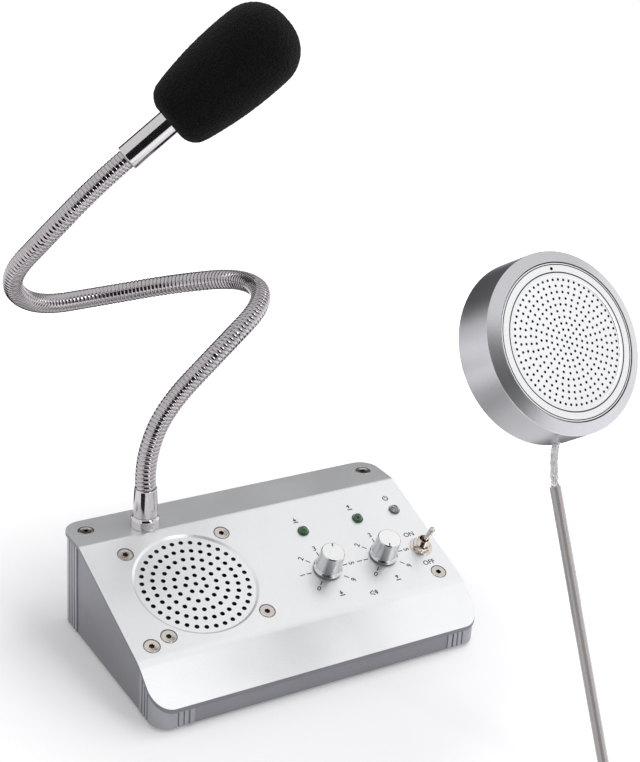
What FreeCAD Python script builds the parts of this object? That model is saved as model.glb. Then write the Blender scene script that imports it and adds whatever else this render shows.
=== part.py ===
import FreeCAD, Part
import math
import os

# Teller window intercom: a desk unit with a gooseneck microphone, and a round outer unit on its own cord.
# Millimetres, +Z up. Origin: centre of the desk unit's underside, on the counter. The teller sits at -Y.

V = FreeCAD.Vector

# ---------------------------------------------------------------- driving dimensions: desk unit
DESK_W = 180.0
DESK_D = 113.0
DESK_H = 52.1            # top of the rear flat above the counter
FRONT_H = 12.4           # top edge of the panel at the front
FLAT_DEPTH = 24.9        # rear flat, front to back
FRONT_DEPTH = 19.3       # steeper front plane, front to back
SLOPE_ANGLE = 20.0
SLOPE_LEN = (DESK_D - FLAT_DEPTH - FRONT_DEPTH) / math.cos(math.radians(SLOPE_ANGLE))
PANEL_T = 1.8
PANEL_CORNER_R = 10.0
REAR_BEND_R = 5.0
MID_BEND_R = 15.0
PANEL_OVERHANG = 0.8     # panel edge beyond the corner posts
WALL_SETBACK = 0.5       # walls behind the posts' outer faces
WALL_T = 1.8
WALL_TONGUE = 3.0        # how far a wall enters its post
POST_LEG = 19.0
POST_T = 6.0
POST_BOSS_R = 5.0
GROOVE_COUNT = 3
GROOVE_PITCH = 2.8
GROOVE_W = 0.9
GROOVE_DEPTH = 0.7
PAD_T = 1.5
PAD_INSET = 16.0
PLATE_T = 1.2
PLATE_INSET = 3.0
PLATE_GAP = 0.2
PLATE_CORNER_R = 6.0

# ---------------------------------------------------------------- fasteners
M4_R = 2.0
M4_HEAD_R = 3.75
M4_HEAD_H = PANEL_T      # the panel is countersunk right through
M4_SOCKET_AF = 2.5
M4_SOCKET_DEPTH = 1.3
M4_HOLE_GAP = 0.2
M4_SINK_GAP = 0.35       # countersink wider than the head
M4_NUT_AF = 7.0
M4_NUT_H = 3.0
M3_R = 1.5
M3_HEAD_R = 2.8
M3_HEAD_H = 1.1
SCREW_LEN = 9.0
SPEAKER_SCREW_LEN = 11.0
BASE_SCREW_LEN = 8.0
CORNER_SCREW_INSET = 9.7
REAR_SCREW_INSET = 10.4
CORNER_SCREW_X = DESK_W / 2 - CORNER_SCREW_INSET
CORNER_SCREW_Y = DESK_D / 2 - REAR_SCREW_INSET
FRONT_SCREW_X = DESK_W / 2 - 10.1
FRONT_SCREW_S = SLOPE_LEN - 8.1
BRACKET_W = 11.0
BRACKET_L = 11.0
BRACKET_H = 10.0

# ---------------------------------------------------------------- desk loudspeaker
SPK_EDGE_GAP = 5.1       # from the slope's bends to the square flange
SPK_SIDE = SLOPE_LEN - 2 * SPK_EDGE_GAP
SPK_SIDE_GAP = 14.49     # from the panel's left edge to the square flange
SPK_X = SPK_SIDE_GAP + SPK_SIDE / 2 - DESK_W / 2
SPK_S = SLOPE_LEN / 2 - 0.4
SPK_DISH_R = SPK_SIDE / 2 - 0.5
SPK_DISH_DEPTH = 0.9
SPK_DISH_EDGE = 1.3      # width of the dish's sloping edge
SPK_HOLE_R = 1.2
SPK_RING_PITCH = SPK_DISH_R / 5.89
SPK_RINGS = [(7, 20.1), (14, 20.3), (21, 3.1), (29, 9.6), (35, 9.9)]   # holes in a ring, first hole's angle
SPK_SCREW_INSET = 5.5
SPK_SCREW_HALF = SPK_SIDE / 2 - SPK_SCREW_INSET
SPK_FLANGE_T = 1.2
SPK_FLANGE_LAND = 3.4    # how far a speaker's flange reaches inwards over its cone's rim
SPK_CONE_GAP = 2.2
SPK_BASKET_R = SPK_SIDE / 2 - 2.0
SPK_DEPTH = 17.0
SPK_MAGNET_R = 16.0
SPK_MAGNET_H = 6.0
SPK_PAPER_T = 0.6

# ---------------------------------------------------------------- lamps, volume controls, switch
LAMP_S = 20.9
LAMP_XS = [DESK_W / 2 - 66.5, DESK_W / 2 - 34.0]
POWER_LAMP_X = DESK_W / 2 - 11.4
LAMP_R = 2.5
LAMP_GAP = 0.35
LAMP_RISE = 3.0
LAMP_FLANGE_R = 3.3
LAMP_LEG_LEN = 8.0
KNOB_XS = [DESK_W / 2 - 66.4, DESK_W / 2 - 33.3]
KNOB_S = SLOPE_LEN - 26.1
KNOB_TURNS = [22.0, -150.0]     # pointer, clockwise from straight up the slope
KNOB_FLANGE_R = 7.35
KNOB_FLANGE_H = 1.5
KNOB_FOOT_R = 6.5
KNOB_TOP_R = 5.95
KNOB_H = 12.2
KNOB_LIFT = 0.8
KNOB_SOCKET_R = 5.6
KNOB_SOCKET_H = 3.4
POT_BUSH_R = 3.5
POT_SHAFT_R = 3.0
RUN_GAP = 0.06
POT_BODY_R = 8.5
POT_BODY_H = 8.0
POT_NUT_AF = 9.0
POT_NUT_H = 1.8
TOGGLE_X = DESK_W / 2 - 10.4
TOGGLE_S = SLOPE_LEN - 25.6
TOGGLE_LEAN = 12.0
TOGGLE_BUSH_R = 3.0
TOGGLE_BUSH_RISE = 6.2
TOGGLE_BORE_R = 2.35
TOGGLE_PIVOT = 2.6
TOGGLE_BALL_R = 2.0
TOGGLE_LEVER_LEN = 17.2
TOGGLE_WASHER_R = 6.0
TOGGLE_WASHER_T = 0.7
TOGGLE_NUT_AF = 8.2
TOGGLE_NUT_H = 1.7

# ---------------------------------------------------------------- board and sockets
BOARD_W = 96.0
BOARD_D = 62.0
BOARD_T = 1.6
BOARD_X = DESK_W / 2 - 66.0
BOARD_Y = DESK_D / 2 - 44.5
STANDOFF_H = 5.0
STANDOFF_R = 2.5
BOARD_HOLE_INSET = 5.0
CHIP_D = 3.2
LINE_JACK_X = DESK_W / 2 - 60.0
DC_JACK_X = DESK_W / 2 - 35.0
JACK_Z = 20.0
JACK_LEN = 13.0
LINE_JACK_R = 1.8
LINE_BUSH_R = 3.0
LINE_BUSH_RISE = 2.5
DC_BORE_R = 3.1
DC_PIN_R = 1.05
DC_DEPTH = 9.0

# ---------------------------------------------------------------- gooseneck microphone
NECK_X = 38.2 - DESK_W / 2
NECK_Y = DESK_D / 2 - 17.5
NECK_RING_R = 7.2
NECK_RING_H = 6.0
FERRULE_H = 21.0         # top of the ferrule above the panel
FERRULE_FOOT_R = 6.2
FERRULE_TOP_R = 5.6
NECK_STUB_R = 5.0
NECK_STUB_LEN = 8.0
NECK_NUT_AF = 14.0
NECK_NUT_H = 3.0
HOSE_R = 5.1
HOSE_BORE_R = 3.0
JOINT_SEAT_GAP = 0.3     # ball in the ferrule and in the collar
JOINT_BALL_GAP = 0.7     # ball between two hose lengths
JOINT_RISE = 1.5         # ball centre beyond the ferrule's or collar's end
# The hose's route from its foot on the panel: up, back round the right bend, and up to the microphone.
RISE_POINTS = [V(-1.0, 0.4, 34.9), V(10.3, 3.0, 59.9), V(35.8, -3.0, 88.4), V(69.3, 9.0, 106.9)]
BACK_POINTS = [V(77.8, 50.0, 103.4), V(52.3, 79.0, 93.4), V(18.8, 94.0, 85.9), V(-21.2, 93.5, 84.9)]
UPPER_POINTS = [V(-44.7, 71.0, 109.9), V(-29.2, 49.0, 139.9), V(-7.0, 43.05, 163.7), V(4.9, 40.35, 174.1)]
COLLAR_R = 6.5
COLLAR_LEN = 48.0
COLLAR_WALL = 0.8
FOAM_START = 26.0        # along the microphone's axis, from the collar's rear end
FOAM_LEN = 74.2
FOAM_WIDEST_R = 21.7
FOAM_WIDEST_AT = 47.0    # from the foam's rear face
FOAM_SIDE_ARC_R = 187.3  # the side's gentle bulge
FOAM_REAR_FLAT_R = 7.8
FOAM_REAR_ARC_R = 10.0
FOAM_FRONT_FLAT_R = 2.5
FOAM_FRONT_ARC_R = 19.0
FOAM_BORE_GAP = 0.3
FOAM_BORE_LEN = 32.0
CAPSULE_R = 4.85
CAPSULE_LEN = 6.5

# ---------------------------------------------------------------- outer unit
CAN_X = 68.0                             # centre of the front rim
CAN_Y = -114.9
CAN_Z = 189.0
CAN_TILT = 33.0                          # how far the front looks up
CAN_YAW = 2.4                            # how far the front looks towards +X
CAN_R = 40.0
CAN_REAR_R = 40.6
CAN_DEPTH = 20.0
CAN_WALL = 1.5
CHAMFER_W = 5.4
CHAMFER_H = 2.35
LIP_DEPTH = 1.5
RING_T = 1.4
RING_TOP = 2.2
GRILLE_R = 28.4
GRILLE_T = 0.8
GRILLE_TOP = 1.6
GRILLE_HOLE_R = 0.6
GRILLE_PITCH = 2.7
GRILLE_TURN = 3.5
GRILLE_RINGS = [(6, 30), (12, 0), (18, 10), (24, 0), (24, 0), (36, 0), (36, 0), (45, 2), (45, 2), (60, 0)]
PINHOLE_R = 0.6
PINHOLE_AT = 31.7
PINHOLE_TURN = 3.0
RING_SKIRT = 6.0
OUT_SPK_R = 26.0
OUT_SPK_FLANGE_R = 29.5
OUT_SPK_FLANGE_T = 1.0
OUT_SPK_DEPTH = 9.0
OUT_MAGNET_R = 13.0
OUT_MAGNET_H = 5.0
OUT_MIC_R = 3.0
OUT_MIC_H = 2.7
STICK_PAD_R = 36.0
STICK_PAD_T = 0.8

# ---------------------------------------------------------------- outer unit's cord
CORD_D = 5.0
SLEEVE_R = 2.1           # the clear inner sheath, which the grey jacket covers further down
EXIT_TURN = 7.0          # round the can from its lowest point, towards -X
EXIT_BACK = 17.0         # behind the front rim
SLEEVE_END = V(CAN_X - 3.0, CAN_Y - 9.2, CAN_Z - 63.0)
SLEEVE_BEND = SLEEVE_END + V(-0.6, 2.7, 10.0)
CORD_LEAN = 26.4         # of the straight run down to the counter
CORD_TABLE_RUN = 36.0
CORD_LAST_RUN = 22.0
COIL_R = 25.0            # middle of the turns
COIL_COLUMNS = 3
COIL_LAYERS = 4
COIL_PITCH = CORD_D + 0.05
END_RUN_1 = V(-20.5, -11.4, -2.6)       # from the coil's top turn down to the counter
END_RUN_2 = V(-27.4, -4.6, -11.05)
END_RUN_3 = V(-21.2, 4.4, 0.0)
PLUG_R = 4.0
PLUG_LEN = 20.0
PLUG_TAIL_LEN = 8.0
PLUG_TAIL_R = 3.2
PLUG_PIN_R = 1.75
PLUG_PIN_LEN = 14.0

# ---------------------------------------------------------------- worked out from them
SIN_S = math.sin(math.radians(SLOPE_ANGLE))
COS_S = math.cos(math.radians(SLOPE_ANGLE))
REAR_Y = DESK_D / 2
BEND_Y = REAR_Y - FLAT_DEPTH
MID_Y = BEND_Y - SLOPE_LEN * COS_S
MID_Z = DESK_H - SLOPE_LEN * SIN_S
POST_X = DESK_W / 2 - PANEL_OVERHANG
POST_Y = DESK_D / 2 - PANEL_OVERHANG
WALL_X = POST_X - WALL_SETBACK
WALL_Y = POST_Y - WALL_SETBACK
PLATE_TOP = PAD_T + PLATE_T
NECK_FOOT = V(NECK_X, NECK_Y, DESK_H)
COIL_H = COIL_LAYERS * COIL_PITCH
COIL_HALF_W = COIL_COLUMNS * COIL_PITCH / 2
FOUR_CORNERS = [(-1, -1), (-1, 1), (1, -1), (1, 1)]
SPEAKER_SCREWS = [(SPK_X + i * SPK_SCREW_HALF, SPK_S + j * SPK_SCREW_HALF) for i, j in FOUR_CORNERS]


# ---------------------------------------------------------------- small helpers
def cylinder(r, h, at=V(0, 0, 0), axis=V(0, 0, 1)):
    return Part.makeCylinder(r, h, at, axis)


def polar(r, degrees, z=0.0):
    a = math.radians(degrees)
    return V(r * math.cos(a), r * math.sin(a), z)


def ball(r, centre, axis):
    return Part.makeSphere(r, centre, axis)


def box(x0, x1, y0, y1, z0, z1):
    return Part.makeBox(x1 - x0, y1 - y0, z1 - z0, V(x0, y0, z0))


def tube(r_out, r_in, h, at=V(0, 0, 0)):
    return cylinder(r_out, h, at).cut(cylinder(r_in, h, at))


def revolved(profile):
    """A solid turned about Z from (radius, z) corners."""
    corners = [V(r, 0, z) for r, z in profile]
    face = Part.Face(Part.makePolygon(corners + corners[:1]))
    return face.revolve(V(0, 0, 0), V(0, 0, 1), 360)


def hexagon(af, h, z=0.0):
    corners = [polar(af / math.sqrt(3), 60 * i, z) for i in range(7)]
    return Part.Face(Part.makePolygon(corners)).extrude(V(0, 0, h))


def rounded_slab(x, y, r, z0, z1):
    """A slab with half sizes x and y and round upright corners."""
    slab = box(-x, x, -y, y, z0, z1)
    upright = [e for e in slab.Edges if abs(e.Vertexes[0].Z - e.Vertexes[1].Z) > (z1 - z0) / 2]
    return slab.makeFillet(r, upright)


def moved(shape, placement):
    return shape.transformed(placement.toMatrix(), True)


def on_slope(shape, x, s, lift=0.0):
    """Places a shape made about its own Z on the sloping panel: s is measured down the slope."""
    at = V(x, BEND_Y - s * COS_S - lift * SIN_S, DESK_H - s * SIN_S + lift * COS_S)
    return moved(shape, FreeCAD.Placement(at, FreeCAD.Rotation(V(1, 0, 0), SLOPE_ANGLE)))


def at_points(shape, points):
    return [shape.translated(V(x, y, z)) for x, y, z in points]


def group(shapes):
    return Part.makeCompound(shapes)


def frame_along(origin, z_dir, x_hint):
    z_dir = V(z_dir).normalize()
    x_dir = (x_hint - z_dir * x_hint.dot(z_dir)).normalize()
    return FreeCAD.Placement(origin, FreeCAD.Rotation(x_dir, z_dir.cross(x_dir), z_dir, "ZXY"))


def route_wire(points, show=None):
    """Straight runs joined by tangent arcs, each as large as its two runs allow."""
    runs = [points[i + 1] - points[i] for i in range(len(points) - 1)]
    edges = []
    radii = []
    start = points[0]
    for i in range(1, len(points) - 1):
        before = V(runs[i - 1]).normalize()
        after = V(runs[i]).normalize()
        half = before.getAngle(after) / 2
        reach = 0.45 * min(runs[i - 1].Length, runs[i].Length)
        radius = reach / math.tan(half)
        radii.append(radius)
        arc_in = points[i] - before * reach
        arc_out = points[i] + after * reach
        to_centre = (after - before).normalize()
        centre = points[i] + to_centre * (radius / math.cos(half))
        middle = centre - to_centre * radius
        edges.append(Part.LineSegment(start, arc_in).toShape())
        edges.append(Part.Arc(arc_in, middle, arc_out).toShape())
        start = arc_out
    edges.append(Part.LineSegment(start, points[-1]).toShape())
    if show:
        print(show, "radii", [round(r, 1) for r in radii])
    return Part.Wire(edges)


def swept(points, r, show=None):
    wire = route_wire(points, show)
    ring = Part.Wire(Part.Circle(points[0], points[1] - points[0], r).toShape())
    solid = wire.makePipe(Part.Face(ring))
    if show:
        ratio = solid.Volume / (math.pi * r * r * wire.Length)
        print(show, "length", round(wire.Length, 1), "volume ratio", round(ratio, 4))
    return solid


# ---------------------------------------------------------------- housing
def panel_line(depth):
    """The bent panel's line in the YZ plane, depth below its top face, from the rear edge to the front."""
    front_dir = V(0, -DESK_D / 2 - MID_Y, FRONT_H - MID_Z).normalize()
    dirs = [V(0, -1, 0), V(0, -COS_S, -SIN_S), front_dir]
    normals = [V(0, d.z, -d.y) for d in dirs]
    corners = [V(0, REAR_Y, DESK_H), V(0, BEND_Y, DESK_H), V(0, MID_Y, MID_Z), V(0, -DESK_D / 2, FRONT_H)]
    radii = [REAR_BEND_R, MID_BEND_R]
    edges = []
    start = corners[0] - normals[0] * depth
    for i in (0, 1):
        half = dirs[i].getAngle(dirs[i + 1]) / 2
        reach = radii[i] * math.tan(half)
        centre = corners[i + 1] - dirs[i] * reach - normals[i] * radii[i]
        arc_in = centre + normals[i] * (radii[i] - depth)
        arc_out = centre + normals[i + 1] * (radii[i] - depth)
        bisector = (normals[i] + normals[i + 1]).normalize()
        middle = centre + bisector * (radii[i] - depth)
        edges.append(Part.LineSegment(start, arc_in).toShape())
        edges.append(Part.Arc(arc_in, middle, arc_out).toShape())
        start = arc_out
    overrun = 4.0
    end = corners[3] - normals[2] * depth + dirs[2] * overrun
    edges.append(Part.LineSegment(start, end).toShape())
    return edges


def under_panel():
    """Everything below the panel's lower face, down to the bottom of the walls."""
    edges = panel_line(PANEL_T)
    first = edges[0].Vertexes[0].Point
    last = edges[-1].Vertexes[-1].Point
    low_front = V(0, last.y, PAD_T)
    low_rear = V(0, first.y, PAD_T)
    edges.append(Part.LineSegment(last, low_front).toShape())
    edges.append(Part.LineSegment(low_front, low_rear).toShape())
    edges.append(Part.LineSegment(low_rear, first).toShape())
    face = Part.Face(Part.Wire(Part.__sortEdges__(edges)))
    return face.extrude(V(DESK_W, 0, 0)).translated(V(-DESK_W / 2, 0, 0))


def panel_blank():
    top = panel_line(0.0)
    low = panel_line(PANEL_T)
    rear = (top[0].Vertexes[0].Point, low[0].Vertexes[0].Point)
    front = (top[-1].Vertexes[-1].Point, low[-1].Vertexes[-1].Point)
    closing = [Part.LineSegment(a, b).toShape() for a, b in (rear, front)]
    face = Part.Face(Part.Wire(Part.__sortEdges__(top + low + closing)))
    sheet = face.extrude(V(DESK_W, 0, 0)).translated(V(-DESK_W / 2, 0, 0))
    outline = rounded_slab(DESK_W / 2, DESK_D / 2, PANEL_CORNER_R, 0, DESK_H + 5)
    return sheet.common(outline)


def countersink(screw_r, head_r, head_h, depth):
    sink = revolved([(0, 0.01), (head_r, 0.01), (head_r, 0), (screw_r, -head_h), (0, -head_h)])
    return sink.fuse(cylinder(screw_r, depth, V(0, 0, -depth)))


def ring_holes(rings, pitch, r, h, turn=0.0):
    holes = [cylinder(r, h)]
    for i, (holes_in_ring, first) in enumerate(rings):
        count = round(holes_in_ring)
        for k in range(count):
            holes.append(cylinder(r, h, polar(pitch * (i + 1), turn + first + 360.0 * k / count)))
    return holes


def top_panel():
    panel = panel_blank()
    sink = countersink(M4_R + M4_HOLE_GAP, M4_HEAD_R + M4_SINK_GAP, M4_HEAD_H, 2 * PANEL_T)
    tools = at_points(sink, [(i * CORNER_SCREW_X, CORNER_SCREW_Y, DESK_H) for i in (-1, 1)])
    tools += [on_slope(sink, i * FRONT_SCREW_X, FRONT_SCREW_S) for i in (-1, 1)]
    tools += [on_slope(sink, x, s) for x, s in SPEAKER_SCREWS]
    through = 3 * PANEL_T
    low = V(0, 0, -2 * PANEL_T)
    lamp_hole = cylinder(LAMP_R + LAMP_GAP, through, low)
    tools += [on_slope(lamp_hole, x, LAMP_S) for x in LAMP_XS + [POWER_LAMP_X]]
    tools += [on_slope(cylinder(POT_BUSH_R + M4_HOLE_GAP, through, low), x, KNOB_S) for x in KNOB_XS]
    tools.append(on_slope(cylinder(TOGGLE_BUSH_R, through, low), TOGGLE_X, TOGGLE_S))
    tools.append(cylinder(NECK_STUB_R, through, V(NECK_X, NECK_Y, DESK_H - 2 * PANEL_T)))
    dish_floor_r = SPK_DISH_R - SPK_DISH_EDGE
    dish = revolved([(0, 0.01), (SPK_DISH_R, 0.01), (SPK_DISH_R, 0),
                     (dish_floor_r, -SPK_DISH_DEPTH), (0, -SPK_DISH_DEPTH)])
    tools.append(on_slope(dish, SPK_X, SPK_S))
    holes = ring_holes(SPK_RINGS, SPK_RING_PITCH, SPK_HOLE_R, through)
    tools += [on_slope(h, SPK_X, SPK_S, -2 * PANEL_T) for h in holes]
    return panel.cut(tools)


def post(i, j):
    """Ribbed corner post: i is the side in X and j the side in Y."""
    outline = rounded_slab(POST_X, POST_Y, PANEL_CORNER_R - PANEL_OVERHANG, PAD_T, DESK_H)
    legs = box(POST_X - POST_LEG, POST_X, POST_Y - POST_T, POST_Y, PAD_T, DESK_H)
    legs = legs.fuse(box(POST_X - POST_T, POST_X, POST_Y - POST_LEG, POST_Y, PAD_T, DESK_H))
    legs = legs.fuse(cylinder(POST_BOSS_R, DESK_H - PAD_T, V(CORNER_SCREW_X, CORNER_SCREW_Y, PAD_T)))
    legs = legs.common(outline)
    slot_x = POST_X - POST_LEG
    slot_y = POST_Y - POST_LEG
    tools = [box(slot_x, slot_x + WALL_TONGUE, WALL_Y - WALL_T, WALL_Y, PAD_T, DESK_H)]
    tools.append(box(WALL_X - WALL_T, WALL_X, slot_y, slot_y + WALL_TONGUE, PAD_T, DESK_H))
    for k in range(GROOVE_COUNT):
        near = (k + 1) * GROOVE_PITCH - GROOVE_W / 2
        far = near + GROOVE_W
        tools.append(box(slot_x + near, slot_x + far, POST_Y - GROOVE_DEPTH, POST_Y, PAD_T, DESK_H))
        tools.append(box(POST_X - GROOVE_DEPTH, POST_X, slot_y + near, slot_y + far, PAD_T, DESK_H))
    legs = legs.cut(tools)
    mirror = FreeCAD.Matrix()
    mirror.A11 = i
    mirror.A22 = j
    legs = legs.transformGeometry(mirror)
    legs = legs.common(under_panel())
    edge = PLATE_INSET - PLATE_GAP
    plate = rounded_slab(POST_X - edge, POST_Y - edge, PLATE_CORNER_R, PAD_T, PLATE_TOP)
    tap = cylinder(M4_R, DESK_H, V(i * CORNER_SCREW_X, CORNER_SCREW_Y, DESK_H - PANEL_T - SCREW_LEN))
    screw = cylinder(M3_R, BASE_SCREW_LEN, V(i * CORNER_SCREW_X, j * CORNER_SCREW_Y, PAD_T))
    legs = legs.cut([plate, screw])
    return legs.cut(tap) if j > 0 else legs


def wall_length(half, leg):
    return half - leg + WALL_TONGUE


def front_or_rear_wall(j):
    length = wall_length(POST_X, POST_LEG)
    y0, y1 = sorted((j * WALL_Y, j * (WALL_Y - WALL_T)))
    return box(-length, length, y0, y1, PAD_T, DESK_H).common(under_panel())


def rear_wall():
    wall = front_or_rear_wall(1)
    line = cylinder(LINE_BUSH_R, 3 * WALL_T, V(LINE_JACK_X, WALL_Y - 2 * WALL_T, JACK_Z), V(0, 1, 0))
    supply = cylinder(DC_BORE_R + 1, 3 * WALL_T, V(DC_JACK_X, WALL_Y - 2 * WALL_T, JACK_Z), V(0, 1, 0))
    return wall.cut([line, supply])


def side_wall(i):
    length = wall_length(POST_Y, POST_LEG)
    x0, x1 = sorted((i * WALL_X, i * (WALL_X - WALL_T)))
    return box(x0, x1, -length, length, PAD_T, DESK_H).common(under_panel())


def base_pad():
    return rounded_slab(DESK_W / 2 - PAD_INSET, DESK_D / 2 - PAD_INSET, PLATE_CORNER_R, 0, PAD_T)


BASE_SCREW_AT = [(i * CORNER_SCREW_X, j * CORNER_SCREW_Y) for i, j in FOUR_CORNERS]


def base_screw():
    head = revolved([(0, 0), (M3_HEAD_R, 0), (M3_R, M3_HEAD_H),
                     (M3_R, BASE_SCREW_LEN), (0, BASE_SCREW_LEN)])
    return head.cut([box(-2, 2, -0.3, 0.3, 0, 0.6), box(-0.3, 0.3, -2, 2, 0, 0.6)])


def base_plate():
    plate = rounded_slab(POST_X - PLATE_INSET, POST_Y - PLATE_INSET, PLATE_CORNER_R, PAD_T, PLATE_TOP)
    sink = revolved([(0, 0), (M3_HEAD_R, 0), (M3_R, M3_HEAD_H), (M3_R, PLATE_T), (0, PLATE_T)])
    holes = at_points(sink, [(x, y, PAD_T) for x, y in BASE_SCREW_AT])
    return plate.cut(holes)


def base_screws():
    return group(at_points(base_screw(), [(x, y, PAD_T) for x, y in BASE_SCREW_AT]))


def panel_bracket(i):
    """A tapped block under the panel, against the side wall, for a front screw."""
    inner = WALL_X - WALL_T
    block = box(inner - BRACKET_W, inner, -BRACKET_L / 2, BRACKET_L / 2, -BRACKET_H, 0)
    block = block.cut(cylinder(M4_R, SCREW_LEN, V(FRONT_SCREW_X, 0, -SCREW_LEN)))
    if i < 0:
        block = block.mirror(V(0, 0, 0), V(1, 0, 0))
    return on_slope(block, 0, FRONT_SCREW_S, -PANEL_T)


def hex_screw(length):
    """Countersunk hex socket screw, its head's top at Z = 0."""
    body = revolved([(0, 0), (M4_HEAD_R - 0.2, 0), (M4_HEAD_R, -0.2),
                     (M4_R, -M4_HEAD_H), (M4_R, -length), (0, -length)])
    return body.cut(hexagon(M4_SOCKET_AF, M4_SOCKET_DEPTH, -M4_SOCKET_DEPTH))


def panel_screws():
    screw = hex_screw(SCREW_LEN)
    flat = at_points(screw, [(i * CORNER_SCREW_X, CORNER_SCREW_Y, DESK_H) for i in (-1, 1)])
    return group(flat + [on_slope(screw, i * FRONT_SCREW_X, FRONT_SCREW_S) for i in (-1, 1)])


# ---------------------------------------------------------------- desk loudspeaker
def speaker_screws():
    return group([on_slope(hex_screw(SPEAKER_SCREW_LEN), x, s) for x, s in SPEAKER_SCREWS])


def speaker_nuts():
    under = -PANEL_T - SPK_FLANGE_T
    nut = hexagon(M4_NUT_AF, M4_NUT_H, -M4_NUT_H).cut(cylinder(M4_R, M4_NUT_H, V(0, 0, -M4_NUT_H)))
    return group([on_slope(nut, x, s, under) for x, s in SPEAKER_SCREWS])


def basket(r, flange_r, flange_t, depth, floor_r, sheet=1.0):
    """Round speaker frame: flange at Z = 0, sloping wall down to a floor that carries the magnet."""
    land = r - SPK_FLANGE_LAND
    outside = [(land, 0), (flange_r, 0), (flange_r, -flange_t), (r, -flange_t), (floor_r + sheet, -depth)]
    inside = [(4, -depth), (4, -depth + sheet), (floor_r, -depth + sheet), (r - 1.2, -flange_t)]
    return revolved(outside + inside + [(land, -flange_t)])


def paper_cone(r, flange_t, depth, cap_r, t):
    """Cone glued under the flange of a basket of radius r, closed in the middle."""
    rim = r - SPK_CONE_GAP
    behind = [(rim, -flange_t), (rim, -flange_t - t), (cap_r, -depth), (0, -depth)]
    return revolved(behind + [(0, -depth + t), (cap_r - t, -depth + t), (rim - 1.6, -flange_t)])


def desk_speaker_frame():
    half = SPK_SIDE / 2
    plate = rounded_slab(half, half, 5.0, -SPK_FLANGE_T, 0)
    plate = plate.cut(cylinder(SPK_BASKET_R - SPK_FLANGE_LAND, 3, V(0, 0, -2)))
    hole = cylinder(M4_R + M4_HOLE_GAP, 3, V(0, 0, -2))
    corners = [(i * SPK_SCREW_HALF, j * SPK_SCREW_HALF, 0) for i, j in FOUR_CORNERS]
    frame = plate.fuse(basket(SPK_BASKET_R, SPK_BASKET_R, SPK_FLANGE_T, SPK_DEPTH, SPK_MAGNET_R))
    frame = frame.cut(at_points(hole, corners)).removeSplitter()
    return on_slope(frame, SPK_X, SPK_S, -PANEL_T)


def desk_speaker_cone():
    cone = paper_cone(SPK_BASKET_R, SPK_FLANGE_T, SPK_DEPTH - 4, 9.0, SPK_PAPER_T)
    return on_slope(cone, SPK_X, SPK_S, -PANEL_T)


def desk_speaker_magnet():
    magnet = cylinder(SPK_MAGNET_R, SPK_MAGNET_H, V(0, 0, -SPK_DEPTH - SPK_MAGNET_H))
    return on_slope(magnet, SPK_X, SPK_S, -PANEL_T)


# ---------------------------------------------------------------- lamps and controls
def lamp():
    """A domed lamp: Z = 0 is the panel's top face."""
    dome_at = LAMP_RISE - LAMP_R
    flange_top = -PANEL_T
    low = flange_top - 1.0
    shank = cylinder(LAMP_R, dome_at - flange_top, V(0, 0, flange_top))
    body = shank.fuse([Part.makeSphere(LAMP_R, V(0, 0, dome_at)), cylinder(LAMP_FLANGE_R, 1.0, V(0, 0, low))])
    legs = [box(x - 0.25, x + 0.25, -0.25, 0.25, low - LAMP_LEG_LEN, low + 0.1) for x in (-1.27, 1.27)]
    return body.fuse(legs).removeSplitter()


def call_lamps():
    return group([on_slope(lamp(), x, LAMP_S) for x in LAMP_XS])


def power_lamp():
    return on_slope(lamp(), POWER_LAMP_X, LAMP_S)


POT_BUSH_RISE = POT_NUT_H + 0.8


def volume_pots():
    body = cylinder(POT_BODY_R, POT_BODY_H, V(0, 0, -PANEL_T - POT_BODY_H))
    bush = cylinder(POT_BUSH_R, PANEL_T + POT_BUSH_RISE, V(0, 0, -PANEL_T))
    bore = cylinder(POT_SHAFT_R + RUN_GAP, PANEL_T + POT_BUSH_RISE + 5, V(0, 0, -PANEL_T - 5))
    pot = body.fuse(bush).cut(bore)
    return group([on_slope(pot, x, KNOB_S) for x in KNOB_XS])


def pot_nuts():
    nut = hexagon(POT_NUT_AF, POT_NUT_H).cut(cylinder(POT_BUSH_R, POT_NUT_H))
    return group([on_slope(nut, x, KNOB_S) for x in KNOB_XS])


def knob(k):
    base = KNOB_LIFT
    body = revolved([(0, base), (KNOB_FLANGE_R - 0.3, base), (KNOB_FLANGE_R, base + 0.3),
                     (KNOB_FLANGE_R, base + KNOB_FLANGE_H - 0.5),
                     (KNOB_FLANGE_R - 0.5, base + KNOB_FLANGE_H),
                     (KNOB_FOOT_R, base + KNOB_FLANGE_H), (KNOB_TOP_R, base + KNOB_H - 0.3),
                     (KNOB_TOP_R - 0.3, base + KNOB_H), (0, base + KNOB_H)])
    socket = cylinder(KNOB_SOCKET_R, KNOB_SOCKET_H, V(0, 0, base))
    bore = cylinder(POT_SHAFT_R, KNOB_H - 2, V(0, 0, base))
    mark = box(-0.3, 0.3, KNOB_TOP_R - 2.4, KNOB_TOP_R, base + KNOB_H - 0.3, base + KNOB_H)
    body = body.cut([socket, bore, mark])
    body.rotate(V(0, 0, 0), V(0, 0, 1), -KNOB_TURNS[k])
    return on_slope(body, KNOB_XS[k], KNOB_S)


def pot_shaft(k):
    shaft = cylinder(POT_SHAFT_R, PANEL_T + 4 + KNOB_LIFT + KNOB_H - 2, V(0, 0, -PANEL_T - 4))
    return on_slope(shaft, KNOB_XS[k], KNOB_S)


def toggle_body():
    body = box(-4, 4, -6.5, 6.5, -PANEL_T - 10, -PANEL_T)
    lugs = [box(-0.4, 0.4, y - 1, y + 1, -PANEL_T - 14, -PANEL_T - 10) for y in (-4.5, 0, 4.5)]
    body = body.cut(cylinder(TOGGLE_BORE_R, 3, V(0, 0, -PANEL_T - 3)))
    return on_slope(body.fuse(lugs), TOGGLE_X, TOGGLE_S)


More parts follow.
